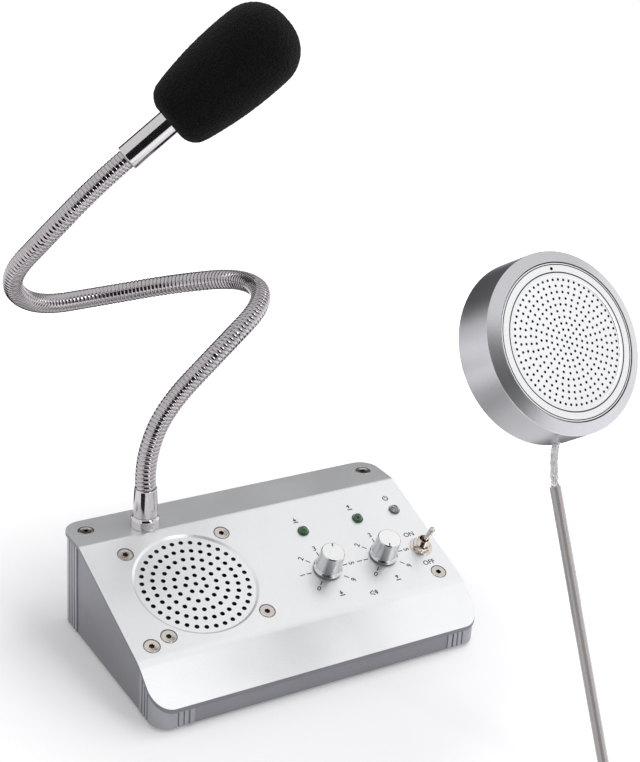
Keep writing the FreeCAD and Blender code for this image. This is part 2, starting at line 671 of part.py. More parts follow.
def toggle_bush():
    bush = cylinder(TOGGLE_BUSH_R, PANEL_T + TOGGLE_BUSH_RISE, V(0, 0, -PANEL_T))
    bore = cylinder(TOGGLE_BORE_R, PANEL_T + TOGGLE_BUSH_RISE, V(0, 0, -PANEL_T))
    return on_slope(bush.cut(bore), TOGGLE_X, TOGGLE_S)


def toggle_washer():
    return on_slope(tube(TOGGLE_WASHER_R, TOGGLE_BUSH_R, TOGGLE_WASHER_T), TOGGLE_X, TOGGLE_S)


def toggle_nut():
    nut = hexagon(TOGGLE_NUT_AF, TOGGLE_NUT_H, TOGGLE_WASHER_T)
    nut = nut.cut(cylinder(TOGGLE_BUSH_R, TOGGLE_NUT_H, V(0, 0, TOGGLE_WASHER_T)))
    return on_slope(nut, TOGGLE_X, TOGGLE_S)


def toggle_lever():
    """Bat lever, leaning down the slope: off."""
    reach = TOGGLE_LEVER_LEN - TOGGLE_PIVOT
    lever = revolved([(0, -2.8), (0.9, -2.8), (1.1, -1.5), (1.15, 4.0), (1.5, reach - 2.2),
                      (1.5, reach - 0.9), (1.1, reach - 0.25), (0, reach)])
    lever = lever.fuse(Part.makeSphere(TOGGLE_BALL_R))
    lever.rotate(V(0, 0, 0), V(1, 0, 0), TOGGLE_LEAN)
    return on_slope(lever.translated(V(0, 0, TOGGLE_PIVOT)), TOGGLE_X, TOGGLE_S)


# ---------------------------------------------------------------- board and rear sockets
BOARD_Z = PLATE_TOP + STANDOFF_H
BOARD_HOLE_X = BOARD_W / 2 - BOARD_HOLE_INSET
BOARD_HOLE_Y = BOARD_D / 2 - BOARD_HOLE_INSET
BOARD_HOLES = [(BOARD_X + i * BOARD_HOLE_X, BOARD_Y + j * BOARD_HOLE_Y) for i, j in FOUR_CORNERS]


def main_board():
    """Circuit board with its amplifier chip and its upright capacitors."""
    x0 = BOARD_X - BOARD_W / 2
    y0 = BOARD_Y - BOARD_D / 2
    board = box(x0, x0 + BOARD_W, y0, y0 + BOARD_D, BOARD_Z, BOARD_Z + BOARD_T)
    board = board.cut(at_points(cylinder(M3_R, 4), [(x, y, BOARD_Z - 1) for x, y in BOARD_HOLES]))
    top = BOARD_Z + BOARD_T
    chip = box(x0 + 22, x0 + 41, BOARD_Y - 1.8 - CHIP_D, BOARD_Y - 1.8, top, top + 10)
    cans = [cylinder(4.0, 8.0, V(x0 + 58 + 11 * k, BOARD_Y + 14, top)) for k in range(3)]
    return group([board, chip] + cans)


def board_standoffs():
    """Nylon posts whose barbed heads snap through the board's holes."""
    neck = M3_R - 0.1
    top = STANDOFF_H + BOARD_T
    snap = revolved([(0, 0), (STANDOFF_R, 0), (STANDOFF_R, STANDOFF_H), (neck, STANDOFF_H), (neck, top),
                     (STANDOFF_R - 0.5, top), (neck - 0.4, top + 2.2), (0, top + 2.2)])
    return group(at_points(snap, [(x, y, PLATE_TOP) for x, y in BOARD_HOLES]))


def amplifier_heat_sink():
    x0 = BOARD_X - BOARD_W / 2 + 18
    top = BOARD_Z + BOARD_T
    back = box(x0, x0 + 27, BOARD_Y - 1.8, BOARD_Y, top, top + 11)
    starts = [x0 + k for k in (0, 6.4, 12.8, 19.2, 25.5)]
    fins = [box(x, x + 1.5, BOARD_Y, BOARD_Y + 7, top, top + 11) for x in starts]
    return back.fuse(fins).removeSplitter()


def line_jack():
    face = WALL_Y
    inner = WALL_Y - WALL_T
    body = box(LINE_JACK_X - 5, LINE_JACK_X + 5, inner - JACK_LEN, inner, JACK_Z - 5, JACK_Z + 5)
    bush = cylinder(LINE_BUSH_R, WALL_T + LINE_BUSH_RISE, V(LINE_JACK_X, inner, JACK_Z), V(0, 1, 0))
    bore_at = V(LINE_JACK_X, inner - JACK_LEN + 1.5, JACK_Z)
    bore = cylinder(LINE_JACK_R, JACK_LEN + WALL_T + LINE_BUSH_RISE, bore_at, V(0, 1, 0))
    nut = cylinder(LINE_BUSH_R + 1.3, 1.8, V(LINE_JACK_X, face, JACK_Z), V(0, 1, 0))
    return body.fuse([bush, nut]).cut(bore).removeSplitter()


def dc_jack():
    inner = WALL_Y - WALL_T
    body = box(DC_JACK_X - 4.5, DC_JACK_X + 4.5, inner - JACK_LEN, inner, JACK_Z - 5.5, JACK_Z + 5.5)
    nose = cylinder(DC_BORE_R + 1, WALL_T + 0.6, V(DC_JACK_X, inner, JACK_Z), V(0, 1, 0))
    depth = DC_DEPTH + 0.6
    bore = cylinder(DC_BORE_R, depth, V(DC_JACK_X, WALL_Y + 0.6 - depth, JACK_Z), V(0, 1, 0))
    pin = cylinder(DC_PIN_R, depth - 0.5, V(DC_JACK_X, WALL_Y + 0.6 - depth, JACK_Z), V(0, 1, 0))
    return body.fuse(nose).cut(bore).fuse(pin).removeSplitter()


# ---------------------------------------------------------------- gooseneck microphone
RISE_ROUTE = [NECK_FOOT + p for p in RISE_POINTS]
BACK_ROUTE = [NECK_FOOT + p for p in BACK_POINTS]
UPPER_ROUTE = [NECK_FOOT + p for p in UPPER_POINTS]
FOOT_BALL = NECK_FOOT + V(0, 0, FERRULE_H + JOINT_RISE)
RIGHT_BALL = (RISE_ROUTE[-1] + BACK_ROUTE[0]) * 0.5
LEFT_BALL = (BACK_ROUTE[-1] + UPPER_ROUTE[0]) * 0.5
HEAD_BALL = UPPER_ROUTE[-1]
MIC_AXIS = (UPPER_ROUTE[-1] - UPPER_ROUTE[-2]).normalize()


def neck_ring():
    r = NECK_RING_R
    h = NECK_RING_H
    ring = revolved([(NECK_STUB_R, 0), (r - 0.5, 0), (r, 0.6), (r, h - 1.6), (r - 0.5, h - 0.4), (r - 1.2, h),
                     (NECK_STUB_R, h)])
    return ring.translated(V(NECK_X, NECK_Y, DESK_H))


def neck_ferrule():
    stub = [(HOSE_BORE_R, -NECK_STUB_LEN), (NECK_STUB_R, -NECK_STUB_LEN), (NECK_STUB_R, NECK_RING_H)]
    cone = revolved(stub + [(FERRULE_FOOT_R, NECK_RING_H), (FERRULE_TOP_R, FERRULE_H), (HOSE_BORE_R, FERRULE_H)])
    cone = cone.translated(V(NECK_X, NECK_Y, DESK_H))
    return cone.cut(ball(HOSE_R + JOINT_SEAT_GAP, FOOT_BALL, V(0, 0, 1)))


def neck_lock_nut():
    nut = hexagon(NECK_NUT_AF, NECK_NUT_H).cut(cylinder(NECK_STUB_R, NECK_NUT_H))
    return nut.translated(V(NECK_X, NECK_Y, DESK_H - PANEL_T - NECK_NUT_H))


def hose_length(points, last=False):
    """A length of hose that starts in a ball and ends in a socket, or in a ball where it is the last."""
    along = points[-1] - points[-2]
    outer = swept(points, HOSE_R).fuse(ball(HOSE_R, points[0], points[1] - points[0]))
    if last:
        outer = outer.fuse(ball(HOSE_R, points[-1], along))
    else:
        outer = outer.cut(ball(HOSE_R + JOINT_BALL_GAP, points[-1], along))
    return outer.cut(swept(points, HOSE_BORE_R))


def hose_rise():
    return hose_length([FOOT_BALL] + RISE_ROUTE + [RIGHT_BALL])


def hose_back():
    return hose_length([RIGHT_BALL] + BACK_ROUTE + [LEFT_BALL])


def hose_upper():
    return hose_length([LEFT_BALL] + UPPER_ROUTE, last=True)


def on_mic(shape, along=0.0):
    """Places a shape made about its own Z on the microphone's axis, from the collar's rear end."""
    return moved(shape, frame_along(HEAD_BALL + MIC_AXIS * (JOINT_RISE + along), MIC_AXIS, V(0, 0, 1)))


def mic_collar():
    bore = COLLAR_R - COLLAR_WALL
    seat = 4.0
    collar = revolved([(HOSE_BORE_R, 0), (COLLAR_R - 0.3, 0), (COLLAR_R, 0.3), (COLLAR_R, COLLAR_LEN),
                       (bore, COLLAR_LEN), (bore, seat), (HOSE_BORE_R, seat)])
    return on_mic(collar).cut(ball(HOSE_R + JOINT_SEAT_GAP, HEAD_BALL, MIC_AXIS))


def mic_capsule():
    holder = tube(COLLAR_R - COLLAR_WALL, CAPSULE_R, CAPSULE_LEN)
    capsule = cylinder(CAPSULE_R, CAPSULE_LEN)
    return on_mic(group([holder, capsule]), COLLAR_LEN - CAPSULE_LEN)


def foam_windscreen():
    """Foam cover: well rounded rear edge, gently bulging side, blunt domed front."""
    rear_mid = V(FOAM_REAR_FLAT_R, 0, FOAM_REAR_ARC_R)
    side_mid = V(FOAM_WIDEST_R - FOAM_SIDE_ARC_R, 0, FOAM_WIDEST_AT)
    front_mid = V(FOAM_FRONT_FLAT_R, 0, FOAM_LEN - FOAM_FRONT_ARC_R)
    to_rear = (rear_mid - side_mid).normalize()
    to_front = (front_mid - side_mid).normalize()
    rear = V(FOAM_REAR_FLAT_R, 0, 0)
    rear_round = rear_mid + (to_rear + V(0, 0, -1)).normalize() * FOAM_REAR_ARC_R
    side_start = rear_mid + to_rear * FOAM_REAR_ARC_R
    side_end = front_mid + to_front * FOAM_FRONT_ARC_R
    front_round = front_mid + (to_front + V(0, 0, 1)).normalize() * FOAM_FRONT_ARC_R
    front = V(FOAM_FRONT_FLAT_R, 0, FOAM_LEN)
    edges = [Part.LineSegment(V(0, 0, 0), rear).toShape()]
    edges.append(Part.Arc(rear, rear_round, side_start).toShape())
    edges.append(Part.Arc(side_start, V(FOAM_WIDEST_R, 0, FOAM_WIDEST_AT), side_end).toShape())
    edges.append(Part.Arc(side_end, front_round, front).toShape())
    edges.append(Part.LineSegment(front, V(0, 0, FOAM_LEN)).toShape())
    edges.append(Part.LineSegment(V(0, 0, FOAM_LEN), V(0, 0, 0)).toShape())
    body = Part.Face(Part.Wire(edges)).revolve(V(0, 0, 0), V(0, 0, 1), 360)
    body = body.cut(cylinder(COLLAR_R + FOAM_BORE_GAP, FOAM_BORE_LEN))
    return on_mic(body, FOAM_START)


# ---------------------------------------------------------------- outer unit
def can_frame():
    tilt = math.radians(CAN_TILT)
    yaw = math.radians(CAN_YAW)
    axis = V(math.sin(yaw) * math.cos(tilt), -math.cos(yaw) * math.cos(tilt), math.sin(tilt))
    return frame_along(V(CAN_X, CAN_Y, CAN_Z), axis, V(math.cos(yaw), math.sin(yaw), 0))


CAN_FRAME = can_frame()


def on_can(shape):
    return moved(shape, CAN_FRAME)


def exit_point(back):
    return CAN_FRAME.multVec(polar(CAN_REAR_R, 270 - EXIT_TURN, -back))


def sleeve_points():
    outside = exit_point(EXIT_BACK)
    inward = (outside - SLEEVE_BEND).normalize()
    return [outside + inward * 5.0, SLEEVE_BEND, SLEEVE_END]


def outer_can():
    mouth = CAN_R - CHAMFER_W
    inner = CAN_R - CAN_WALL
    floor = -CAN_DEPTH + CAN_WALL
    outside = [(0, -CAN_DEPTH), (CAN_REAR_R - 0.5, -CAN_DEPTH), (CAN_REAR_R, -CAN_DEPTH + 0.5), (CAN_R, -0.2)]
    rim = [(CAN_R - 0.2, 0.1), (mouth + 0.15, CHAMFER_H), (mouth, CHAMFER_H - 0.15), (mouth, -LIP_DEPTH)]
    inside = [(inner, -LIP_DEPTH - 2), (inner, floor), (0, floor)]
    can = on_can(revolved(outside + rim + inside))
    return can.cut(swept(sleeve_points(), SLEEVE_R))


def outer_trim_ring():
    r = CAN_R - CHAMFER_W
    inner = GRILLE_R + 0.1
    low = RING_TOP - RING_T
    skirt = low - RING_SKIRT
    top = RING_TOP
    outer_edge = [(r, skirt), (r, top - 0.35), (r - 0.3, top - 0.35), (r - 0.5, top)]
    groove = [(inner + 1.6, top), (inner + 1.3, top - 0.4), (inner + 1.1, top - 0.4)]
    under = [(inner + 0.9, top - 0.05), (inner, top - 0.05), (inner, low), (r - 1.2, low), (r - 1.2, skirt)]
    ring = revolved(outer_edge + groove + under)
    hole = cylinder(PINHOLE_R, 5, polar(PINHOLE_AT, 90 - PINHOLE_TURN))
    return on_can(ring.cut(hole))


def outer_grille():
    disc = cylinder(GRILLE_R, GRILLE_T, V(0, 0, GRILLE_TOP - GRILLE_T))
    holes = ring_holes(GRILLE_RINGS, GRILLE_PITCH, GRILLE_HOLE_R, 4 * GRILLE_T, GRILLE_TURN)
    return on_can(disc.cut(holes))


OUT_SPK_TOP = RING_TOP - RING_T


def mic_place(z):
    return polar(PINHOLE_AT - 1.4, 90 - PINHOLE_TURN, z)


def outer_speaker_frame():
    frame = basket(OUT_SPK_R, OUT_SPK_FLANGE_R, OUT_SPK_FLANGE_T, OUT_SPK_DEPTH, OUT_MAGNET_R)
    notch = cylinder(OUT_MIC_R + 0.2, 4, mic_place(-3))
    return on_can(frame.cut(notch).translated(V(0, 0, OUT_SPK_TOP)))


def outer_speaker_cone():
    cone = paper_cone(OUT_SPK_R, OUT_SPK_FLANGE_T, OUT_SPK_DEPTH - 2, 7.0, 0.5)
    return on_can(cone.translated(V(0, 0, OUT_SPK_TOP)))


def outer_speaker_magnet():
    return on_can(cylinder(OUT_MAGNET_R, OUT_MAGNET_H, V(0, 0, OUT_SPK_TOP - OUT_SPK_DEPTH - OUT_MAGNET_H)))


def outer_mic_capsule():
    return on_can(cylinder(OUT_MIC_R, OUT_MIC_H, mic_place(RING_TOP - RING_T - OUT_MIC_H)))


def outer_stick_pad():
    return on_can(cylinder(STICK_PAD_R, STICK_PAD_T, V(0, 0, -CAN_DEPTH - STICK_PAD_T)))


# ---------------------------------------------------------------- outer unit's cord
def cord_sleeve():
    return swept(sleeve_points(), SLEEVE_R, "cord_sleeve")


def cord_points():
    """Down to the counter, round a corner on it, and along it into the coil's outer turn."""
    fall = SLEEVE_END.z - CORD_D / 2
    corner = SLEEVE_END - V(0, fall * math.tan(math.radians(CORD_LEAN)), fall)
    turn_in = corner + V(-0.085, -0.9964, 0) * CORD_TABLE_RUN
    return [SLEEVE_END, corner, turn_in, turn_in + V(-0.064, -0.998, 0) * CORD_LAST_RUN]


COIL_CENTRE = cord_points()[-1] - V(COIL_R + COIL_PITCH, 0, CORD_D / 2)


def end_points():
    """From the coil's top turn down to the counter, beside the coil."""
    start = COIL_CENTRE + polar(COIL_R + COIL_PITCH, -60, COIL_H - CORD_D / 2)
    return [start, start + END_RUN_1, start + END_RUN_1 + END_RUN_2, start + END_RUN_1 + END_RUN_2 + END_RUN_3]


def cord_tube():
    return swept(cord_points(), CORD_D / 2, "cord_tube")


def cord_coil():
    """The outer shape of the put-away turns."""
    coil = tube(COIL_R + COIL_HALF_W, COIL_R - COIL_HALF_W, COIL_H)
    rims = [e for e in coil.Edges if len(e.Vertexes) == 1]
    coil = coil.makeFillet(CORD_D / 2 - 0.1, rims)
    return coil.translated(COIL_CENTRE)


def cord_end():
    return swept(end_points(), CORD_D / 2, "cord_end")


def on_plug(shape):
    before, start = end_points()[-2:]
    return moved(shape, frame_along(start, start - before, V(0, 0, 1)))


def plug_body():
    tail = PLUG_TAIL_LEN
    end = PLUG_TAIL_LEN + PLUG_LEN
    body = revolved([(0, 0), (PLUG_TAIL_R - 0.4, 0), (PLUG_TAIL_R, tail), (PLUG_R - 0.5, tail + 0.4),
                     (PLUG_R, tail + 1.5), (PLUG_R, end - 0.6), (PLUG_R - 0.6, end), (0, end)])
    return on_plug(body)


def plug_pin():
    start = PLUG_TAIL_LEN + PLUG_LEN
    tip = start + PLUG_PIN_LEN
    pin = revolved([(0, start), (PLUG_PIN_R, start), (PLUG_PIN_R, tip - 3.4),
                    (PLUG_PIN_R - 0.45, tip - 2.6),
                    (PLUG_PIN_R - 0.1, tip - 1.6), (0.5, tip), (0, tip)])
    return on_plug(pin)


NODES = {
    "base_pad": base_pad,
    "base_plate": base_plate,
    "base_screws": base_screws,
    "post_front_left": lambda: post(-1, -1),
    "post_front_right": lambda: post(1, -1),
    "post_rear_left": lambda: post(-1, 1),
    "post_rear_right": lambda: post(1, 1),
    "front_wall": lambda: front_or_rear_wall(-1),
    "rear_wall": rear_wall,
    "left_wall": lambda: side_wall(-1),
    "right_wall": lambda: side_wall(1),
    "top_panel": top_panel,
    "panel_brackets": lambda: group([panel_bracket(-1), panel_bracket(1)]),
    "panel_screws": panel_screws,
    "speaker_screws": speaker_screws,
    "speaker_nuts": speaker_nuts,
    "desk_speaker_frame": desk_speaker_frame,
    "desk_speaker_cone": desk_speaker_cone,
    "desk_speaker_magnet": desk_speaker_magnet,
    "call_lamps": call_lamps,
    "power_lamp": power_lamp,
    "volume_pots": volume_pots,
    "pot_nuts": pot_nuts,
    "internal_volume_knob": lambda: knob(0),
    "internal_pot_shaft": lambda: pot_shaft(0),
    "external_volume_knob": lambda: knob(1),
    "external_pot_shaft": lambda: pot_shaft(1),
    "toggle_body": toggle_body,
    "toggle_bush": toggle_bush,
    "toggle_washer": toggle_washer,
    "toggle_nut": toggle_nut,
    "toggle_lever": toggle_lever,
    "main_board": main_board,
    "board_standoffs": board_standoffs,
    "amplifier_heat_sink": amplifier_heat_sink,
    "line_jack": line_jack,
    "dc_jack": dc_jack,
    "neck_ring": neck_ring,
    "neck_ferrule": neck_ferrule,
    "neck_lock_nut": neck_lock_nut,
    "hose_rise": hose_rise,
    "hose_back": hose_back,
    "hose_upper": hose_upper,
    "mic_collar": mic_collar,
    "mic_capsule": mic_capsule,
    "foam_windscreen": foam_windscreen,
    "outer_can": outer_can,
    "outer_trim_ring": outer_trim_ring,
    "outer_grille": outer_grille,
    "outer_speaker_frame": outer_speaker_frame,
    "outer_speaker_cone": outer_speaker_cone,
    "outer_speaker_magnet": outer_speaker_magnet,
    "outer_mic_capsule": outer_mic_capsule,
    "outer_stick_pad": outer_stick_pad,
    "cord_sleeve": cord_sleeve,
    "cord_tube": cord_tube,
    "cord_coil": cord_coil,
    "cord_end": cord_end,
    "plug_body": plug_body,
    "plug_pin": plug_pin,
}

os.makedirs("parts", exist_ok=True)
for name, make in NODES.items():
    shape = make()
    if not shape.isValid() or shape.Volume <= 0:
        print("PROBLEM", name, "valid", shape.isValid(), "volume", round(shape.Volume, 2))
    shape.exportStep(os.path.join("parts", name + ".step"))
print(len(NODES), "nodes written")
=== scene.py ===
# %% [markdown]
# # A teller window intercom, dressed for its render
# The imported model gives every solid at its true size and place. This lesson dresses it: each visible piece
# is modelled again with the small edges, windings, threads and print that a solid model leaves out, and gets
# the finish of the real material. Lengths are in millimetres on the bench and in metres once a piece is in
# place.

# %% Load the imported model
import math

import bpy
from mathutils import Matrix, Vector


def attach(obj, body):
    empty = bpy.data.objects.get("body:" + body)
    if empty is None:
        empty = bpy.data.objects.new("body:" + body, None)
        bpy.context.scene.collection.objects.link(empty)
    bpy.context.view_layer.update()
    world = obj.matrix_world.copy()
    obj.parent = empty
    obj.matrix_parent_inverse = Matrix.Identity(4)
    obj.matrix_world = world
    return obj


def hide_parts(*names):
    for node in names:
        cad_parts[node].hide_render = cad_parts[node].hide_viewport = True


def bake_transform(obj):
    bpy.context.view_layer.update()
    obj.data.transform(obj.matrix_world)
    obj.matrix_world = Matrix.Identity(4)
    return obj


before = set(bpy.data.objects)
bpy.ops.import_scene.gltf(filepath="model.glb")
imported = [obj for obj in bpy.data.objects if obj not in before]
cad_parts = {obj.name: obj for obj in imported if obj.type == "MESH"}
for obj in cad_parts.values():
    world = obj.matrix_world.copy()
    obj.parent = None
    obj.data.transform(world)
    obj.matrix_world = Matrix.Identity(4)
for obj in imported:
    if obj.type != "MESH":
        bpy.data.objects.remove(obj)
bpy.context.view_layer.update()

# %% [markdown]
# ## Camera
# The camera is a plain perspective camera with a long lens, so that the box's edges nearly keep their own
# directions. It stands in front of the unit, to its left and above it, and leans by three degrees. A camera
# looks along its own -Z and its own +Y points up, so the three directions below are the columns of its
# matrix.

# %% Camera
EYE = Vector((-346.33, -580.43, 427.79)) * 0.001
RIGHT = Vector((0.8575957, -0.5107654, 0.0604010))
DOWN = Vector((-0.1544012, -0.3676912, -0.9170406))
AHEAD = Vector((0.4906016, 0.7771241, -0.3941932))


def preset(thing, **settings):
    """Sets any number of a thing's settings."""
    for key, value in settings.items():
        setattr(thing, key, value)
    return thing


def new_object(name, data):
    made = bpy.data.objects.new(name, data)
    bpy.context.scene.collection.objects.link(made)
    return made


lens = preset(bpy.data.cameras.new("camera"), lens=73.92, sensor_width=36.0, clip_start=0.01, clip_end=20.0)
camera = new_object("camera", lens)
camera.matrix_world = Matrix.Translation(EYE) @ Matrix((RIGHT, -DOWN, -AHEAD)).transposed().to_4x4()
bpy.context.scene.camera = camera
bpy.context.scene.view_settings.view_transform = "Standard"

# %% [markdown]
# ## Small helpers for nodes and colours
# A colour is written as the hex value that a screen shows, and Cycles works in linear light, so one function
# turns the first into the second. Another feeds a node's inputs: with a value, or with a link where it is
# given another node or one of its outputs. One more adds a node and feeds it.

# %% Node and colour helpers
def linear(hex_code):
    channels = [int(hex_code[i:i + 2], 16) / 255 for i in (1, 3, 5)]
    light = [c / 12.92 if c <= 0.04045 else ((c + 0.055) / 1.055) ** 2.4 for c in channels]
    return (*light, 1.0)


def feed(tree, node, inputs):
    """Gives each input its value, or the output that feeds it. A node stands for its first output."""
    for key, value in inputs.items():
        if isinstance(value, bpy.types.Node):
            value = value.outputs[0]
        if isinstance(value, bpy.types.NodeSocket):
            tree.links.new(value, node.inputs[key])
        else:
            node.inputs[key].default_value = value
    return node


def add(tree, kind, inputs=None, **settings):
    return feed(tree, preset(tree.nodes.new("ShaderNode" + kind), **settings), inputs or {})


def ramp(tree, factor, stops):
    """A colour ramp with two (position, hex colour) stops."""
    node = add(tree, "ValToRGB", {"Fac": factor})
    for element, (position, colour) in zip(node.color_ramp.elements, stops):
        preset(element, position=position, color=linear(colour))
    return node


def new_material(name):
    """A material with a Principled BSDF joined to its output, and the object's own coordinates to hand."""
    material = bpy.data.materials.new(name)
    material.use_nodes = True
    tree = material.node_tree
    tree.nodes.clear()
    shader = add(tree, "BsdfPrincipled")
    add(tree, "OutputMaterial", {"Surface": shader})
    return material, tree, shader, add(tree, "TexCoord").outputs["Object"]


# %% [markdown]
# ## A grainy finish for metals, plastics and paint
# Most of this object is satin or bright metal. What makes such a surface look real is that neither its
# colour nor its shine is even: a fine grain from blasting, moulding or brushing, and broad faint clouds from
# handling. One recipe gives both, with the grain's size in millimetres, and stretches the grain along one
# axis for a brushed finish. The grain moves the colour a little, the roughness a little, and the bump.

# %% A recipe for grainy finishes
CLOUD_MM = 38
LOW, HIGH = 0.3, 0.7          # a noise's values mostly lie between these
GRAIN_SHARE, CLOUD_SHARE = 0.65, 0.35


def grainy(name, dark, light, metallic, roughness, grain_mm, bump=0.15, spread=0.06, stretch=(1, 1, 1),
           coat=0.0):
    material, tree, shader, where = new_material(name)
    where = add(tree, "Mapping", {"Vector": where, "Scale": stretch})
    grain = add(tree, "TexNoise", {"Vector": where, "Scale": 1000 / grain_mm, "Detail": 3.0,
        "Roughness": 0.6})
    cloud = add(tree, "TexNoise", {"Vector": where, "Scale": 1000 / CLOUD_MM, "Detail": 2.0})
    both = add(tree, "Math", {0: grain, 1: GRAIN_SHARE}, operation="MULTIPLY")
    both = add(tree, "Math", {0: cloud, 1: CLOUD_SHARE, 2: both}, operation="MULTIPLY_ADD")
    shine = add(tree, "MapRange", {0: both, 1: LOW, 2: HIGH, 3: roughness - spread, 4: roughness + spread})
    lift = add(tree, "Bump", {"Height": grain, "Strength": bump, "Distance": grain_mm * 0.0003})
    feed(tree, shader, {"Base Color": ramp(tree, both, [(LOW, dark), (HIGH, light)]), "Roughness": shine,
        "Normal": lift, "Metallic": metallic, "Coat Weight": coat})
    return material


# %% [markdown]
# ## The outer unit's cord
# The cord is a fixed length of round PVC cable. It leaves the clear sleeve under the round unit, runs
# straight down to the counter, and its spare length lies in a neat coil outside the picture, with the plug
# beside it. It is one NURBS curve with a round bevel: its control points are the corners of the route, and a
# spline of order 3 rounds them off by itself. The coil's turns are points of the same spline, sixteen to a
# turn.

# %% Route of the cord
SLEEVE_END = Vector((65.0, -124.1, 126.0))
CORD_D = 5.0
CORNER = Vector((65.0, -185.406, CORD_D / 2))
TABLE_RUN, LAST_RUN = 36.0, 22.0
COIL_CENTRE = Vector((30.482, -243.232, 0.0))
COIL_PITCH = 5.05
COLUMNS = [25.0 + COIL_PITCH, 25.0, 25.0 - COIL_PITCH]
COLUMN_OF_TURN = [0, 1, 2, 2, 1, 0] * 2
POINTS_PER_TURN = 16
SPLINE_INSET = 0.981          # a spline of order 3 runs a little inside its control points
LAST_STOP = 60                # degrees of the last turn before the cord leaves the coil
END_POINTS = [(25.007, -280.656, 15.1), (-2.393, -285.256, 4.05), (-23.593, -280.856, 4.05)]
# Where each layer's turns move sideways, and where its last turn climbs: degrees clockwise within the turn.
SIDEWAYS = [(320, 360), (240, 280), (160, 200), (80, 120)]
CLIMB = [(280, 320), (200, 240), (120, 160)]


def step_between(angle, window):
    low, high = window
    return min(1.0, max(0.0, (angle - low) / (high - low)))


def coil_points():
    """Twelve turns in four layers of three: out to in, then in to out, and so on."""
    points = []
    last_turn = len(COLUMN_OF_TURN) - 1
    for turn, column in enumerate(COLUMN_OF_TURN):
        layer, place = divmod(turn, 3)
        following = COLUMNS[COLUMN_OF_TURN[min(turn + 1, last_turn)]]
        for k in range(POINTS_PER_TURN):
            angle = 360 * k / POINTS_PER_TURN
            if (turn, k) == (0, 0) or (turn == last_turn and angle > LAST_STOP):
                continue
            radius = COLUMNS[column]
            height = CORD_D / 2 + COIL_PITCH * layer
            if place < 2:
                radius += (following - radius) * step_between(angle, SIDEWAYS[layer])
            elif layer < 3:
                height += COIL_PITCH * step_between(angle, CLIMB[layer])
            a, reach = math.radians(-angle), radius / SPLINE_INSET
            points.append(COIL_CENTRE + Vector((reach * math.cos(a), reach * math.sin(a), height)))
    return points


def cord_route():
    turn_in = CORNER + Vector((-0.085, -0.9964, 0)) * TABLE_RUN
    join = turn_in + Vector((-0.064, -0.998, 0)) * LAST_RUN
    near_corner = CORNER + (SLEEVE_END - CORNER).normalized() * TABLE_RUN
    down = [SLEEVE_END, near_corner, CORNER, turn_in, join]
    return down + coil_points() + [Vector(p) for p in END_POINTS]


def drawn(name, kind, points, radius, resolution, sides, closed=False):
    """A round line along (x, y, z) points."""
    curve = preset(bpy.data.curves.new(name, "CURVE"), dimensions="3D", resolution_u=resolution,
                   bevel_depth=radius, bevel_resolution=sides, use_fill_caps=True)
    spline = curve.splines.new(kind)
    spline.points.add(len(points) - 1)
    for slot, point in zip(spline.points, points):
        slot.co = (*point, 1.0)
    preset(spline, order_u=3, use_endpoint_u=True, use_cyclic_u=closed)
    return new_object(name, curve)


def nurbs(name, points, radius, resolution=6, sides=4):
    """A smooth round cord along control points in millimetres."""
    return drawn(name, "NURBS", [Vector(p) * 0.001 for p in points], radius * 0.001, resolution, sides)


def line_of(points, resolution=6):
    """The spline's own line: its points and its length in millimetres."""
    probe = nurbs("probe", points, 0.0, resolution)
    mesh = bpy.data.meshes.new_from_object(probe)
    line = [v.co * 1000 for v in mesh.vertices]
    bpy.data.objects.remove(probe)
    bpy.data.meshes.remove(mesh)
    return line, sum((b - a).length for a, b in zip(line, line[1:]))


CORD_LENGTH = line_of(cord_route())[1]
print("cord length mm", round(CORD_LENGTH, 1), "points", len(cord_route()))

# %% Draw the cord
cord_jacket = grainy("grey_pvc_cord_jacket", "#ABA6A4", "#BCB8B6", 0.2, 0.3, 0.9, bump=0.03, spread=0.03,
    coat=1.0)
cord = nurbs("outer_unit_cord", cord_route(), CORD_D / 2)
cord.data.materials.append(cord_jacket)

# %% [markdown]
# ## The bench
# Every hard piece is made about its own axis in millimetres, and then set in place in metres. Most of them
# are turned parts, so the first tool is a lathe: one vertex is drawn along the outline by extruding it, the
# outline is spun round Z, and the seam and the poles are merged. The other tools cut, soften edges and set
# in place. Softening ends with weighted normals: the big faces then keep their own direction up to the
# bevel, and a long mirror-bright wall doesn't seem to bend towards its rim. An operator works on whatever is
# selected, so each tool starts with nothing selected.

# %% Bench tools: selecting and drawing
MILLI = Matrix.Scale(0.001, 4)
MERGE_MM = 0.0005


def bench():
    if bpy.context.mode != "OBJECT":
        bpy.ops.object.mode_set(mode="OBJECT")
    bpy.ops.object.select_all(action="DESELECT")


def pick(*pieces):
    bench()
    for piece in pieces:
        piece.select_set(True)
    bpy.context.view_layer.objects.active = pieces[0]


def edit(piece):
    pick(piece)
    bpy.ops.object.mode_set(mode="EDIT")


def leave():
    """Back from editing one piece."""
    bpy.ops.object.mode_set(mode="OBJECT")


def select_all():
    bpy.ops.mesh.select_all(action="SELECT")


def start_vertex(name, x, y, z):
    """A plane shrunk to a single vertex, left in edit mode: the start of an outline."""
    bench()
    bpy.ops.mesh.primitive_plane_add(size=1)
    piece = bpy.context.active_object
    piece.name = name
    bpy.ops.object.mode_set(mode="EDIT")
    bpy.ops.mesh.merge(type="CENTER")
    bpy.ops.transform.translate(value=(x, y, z))
    return piece


def draw_on(dx, dy, dz):
    bpy.ops.mesh.extrude_region_move(TRANSFORM_OT_translate={"value": (dx, dy, dz)})


def tidy_shell(merge=MERGE_MM):
    select_all()
    bpy.ops.mesh.remove_doubles(threshold=merge)
    bpy.ops.mesh.normals_make_consistent(inside=False)
    leave()


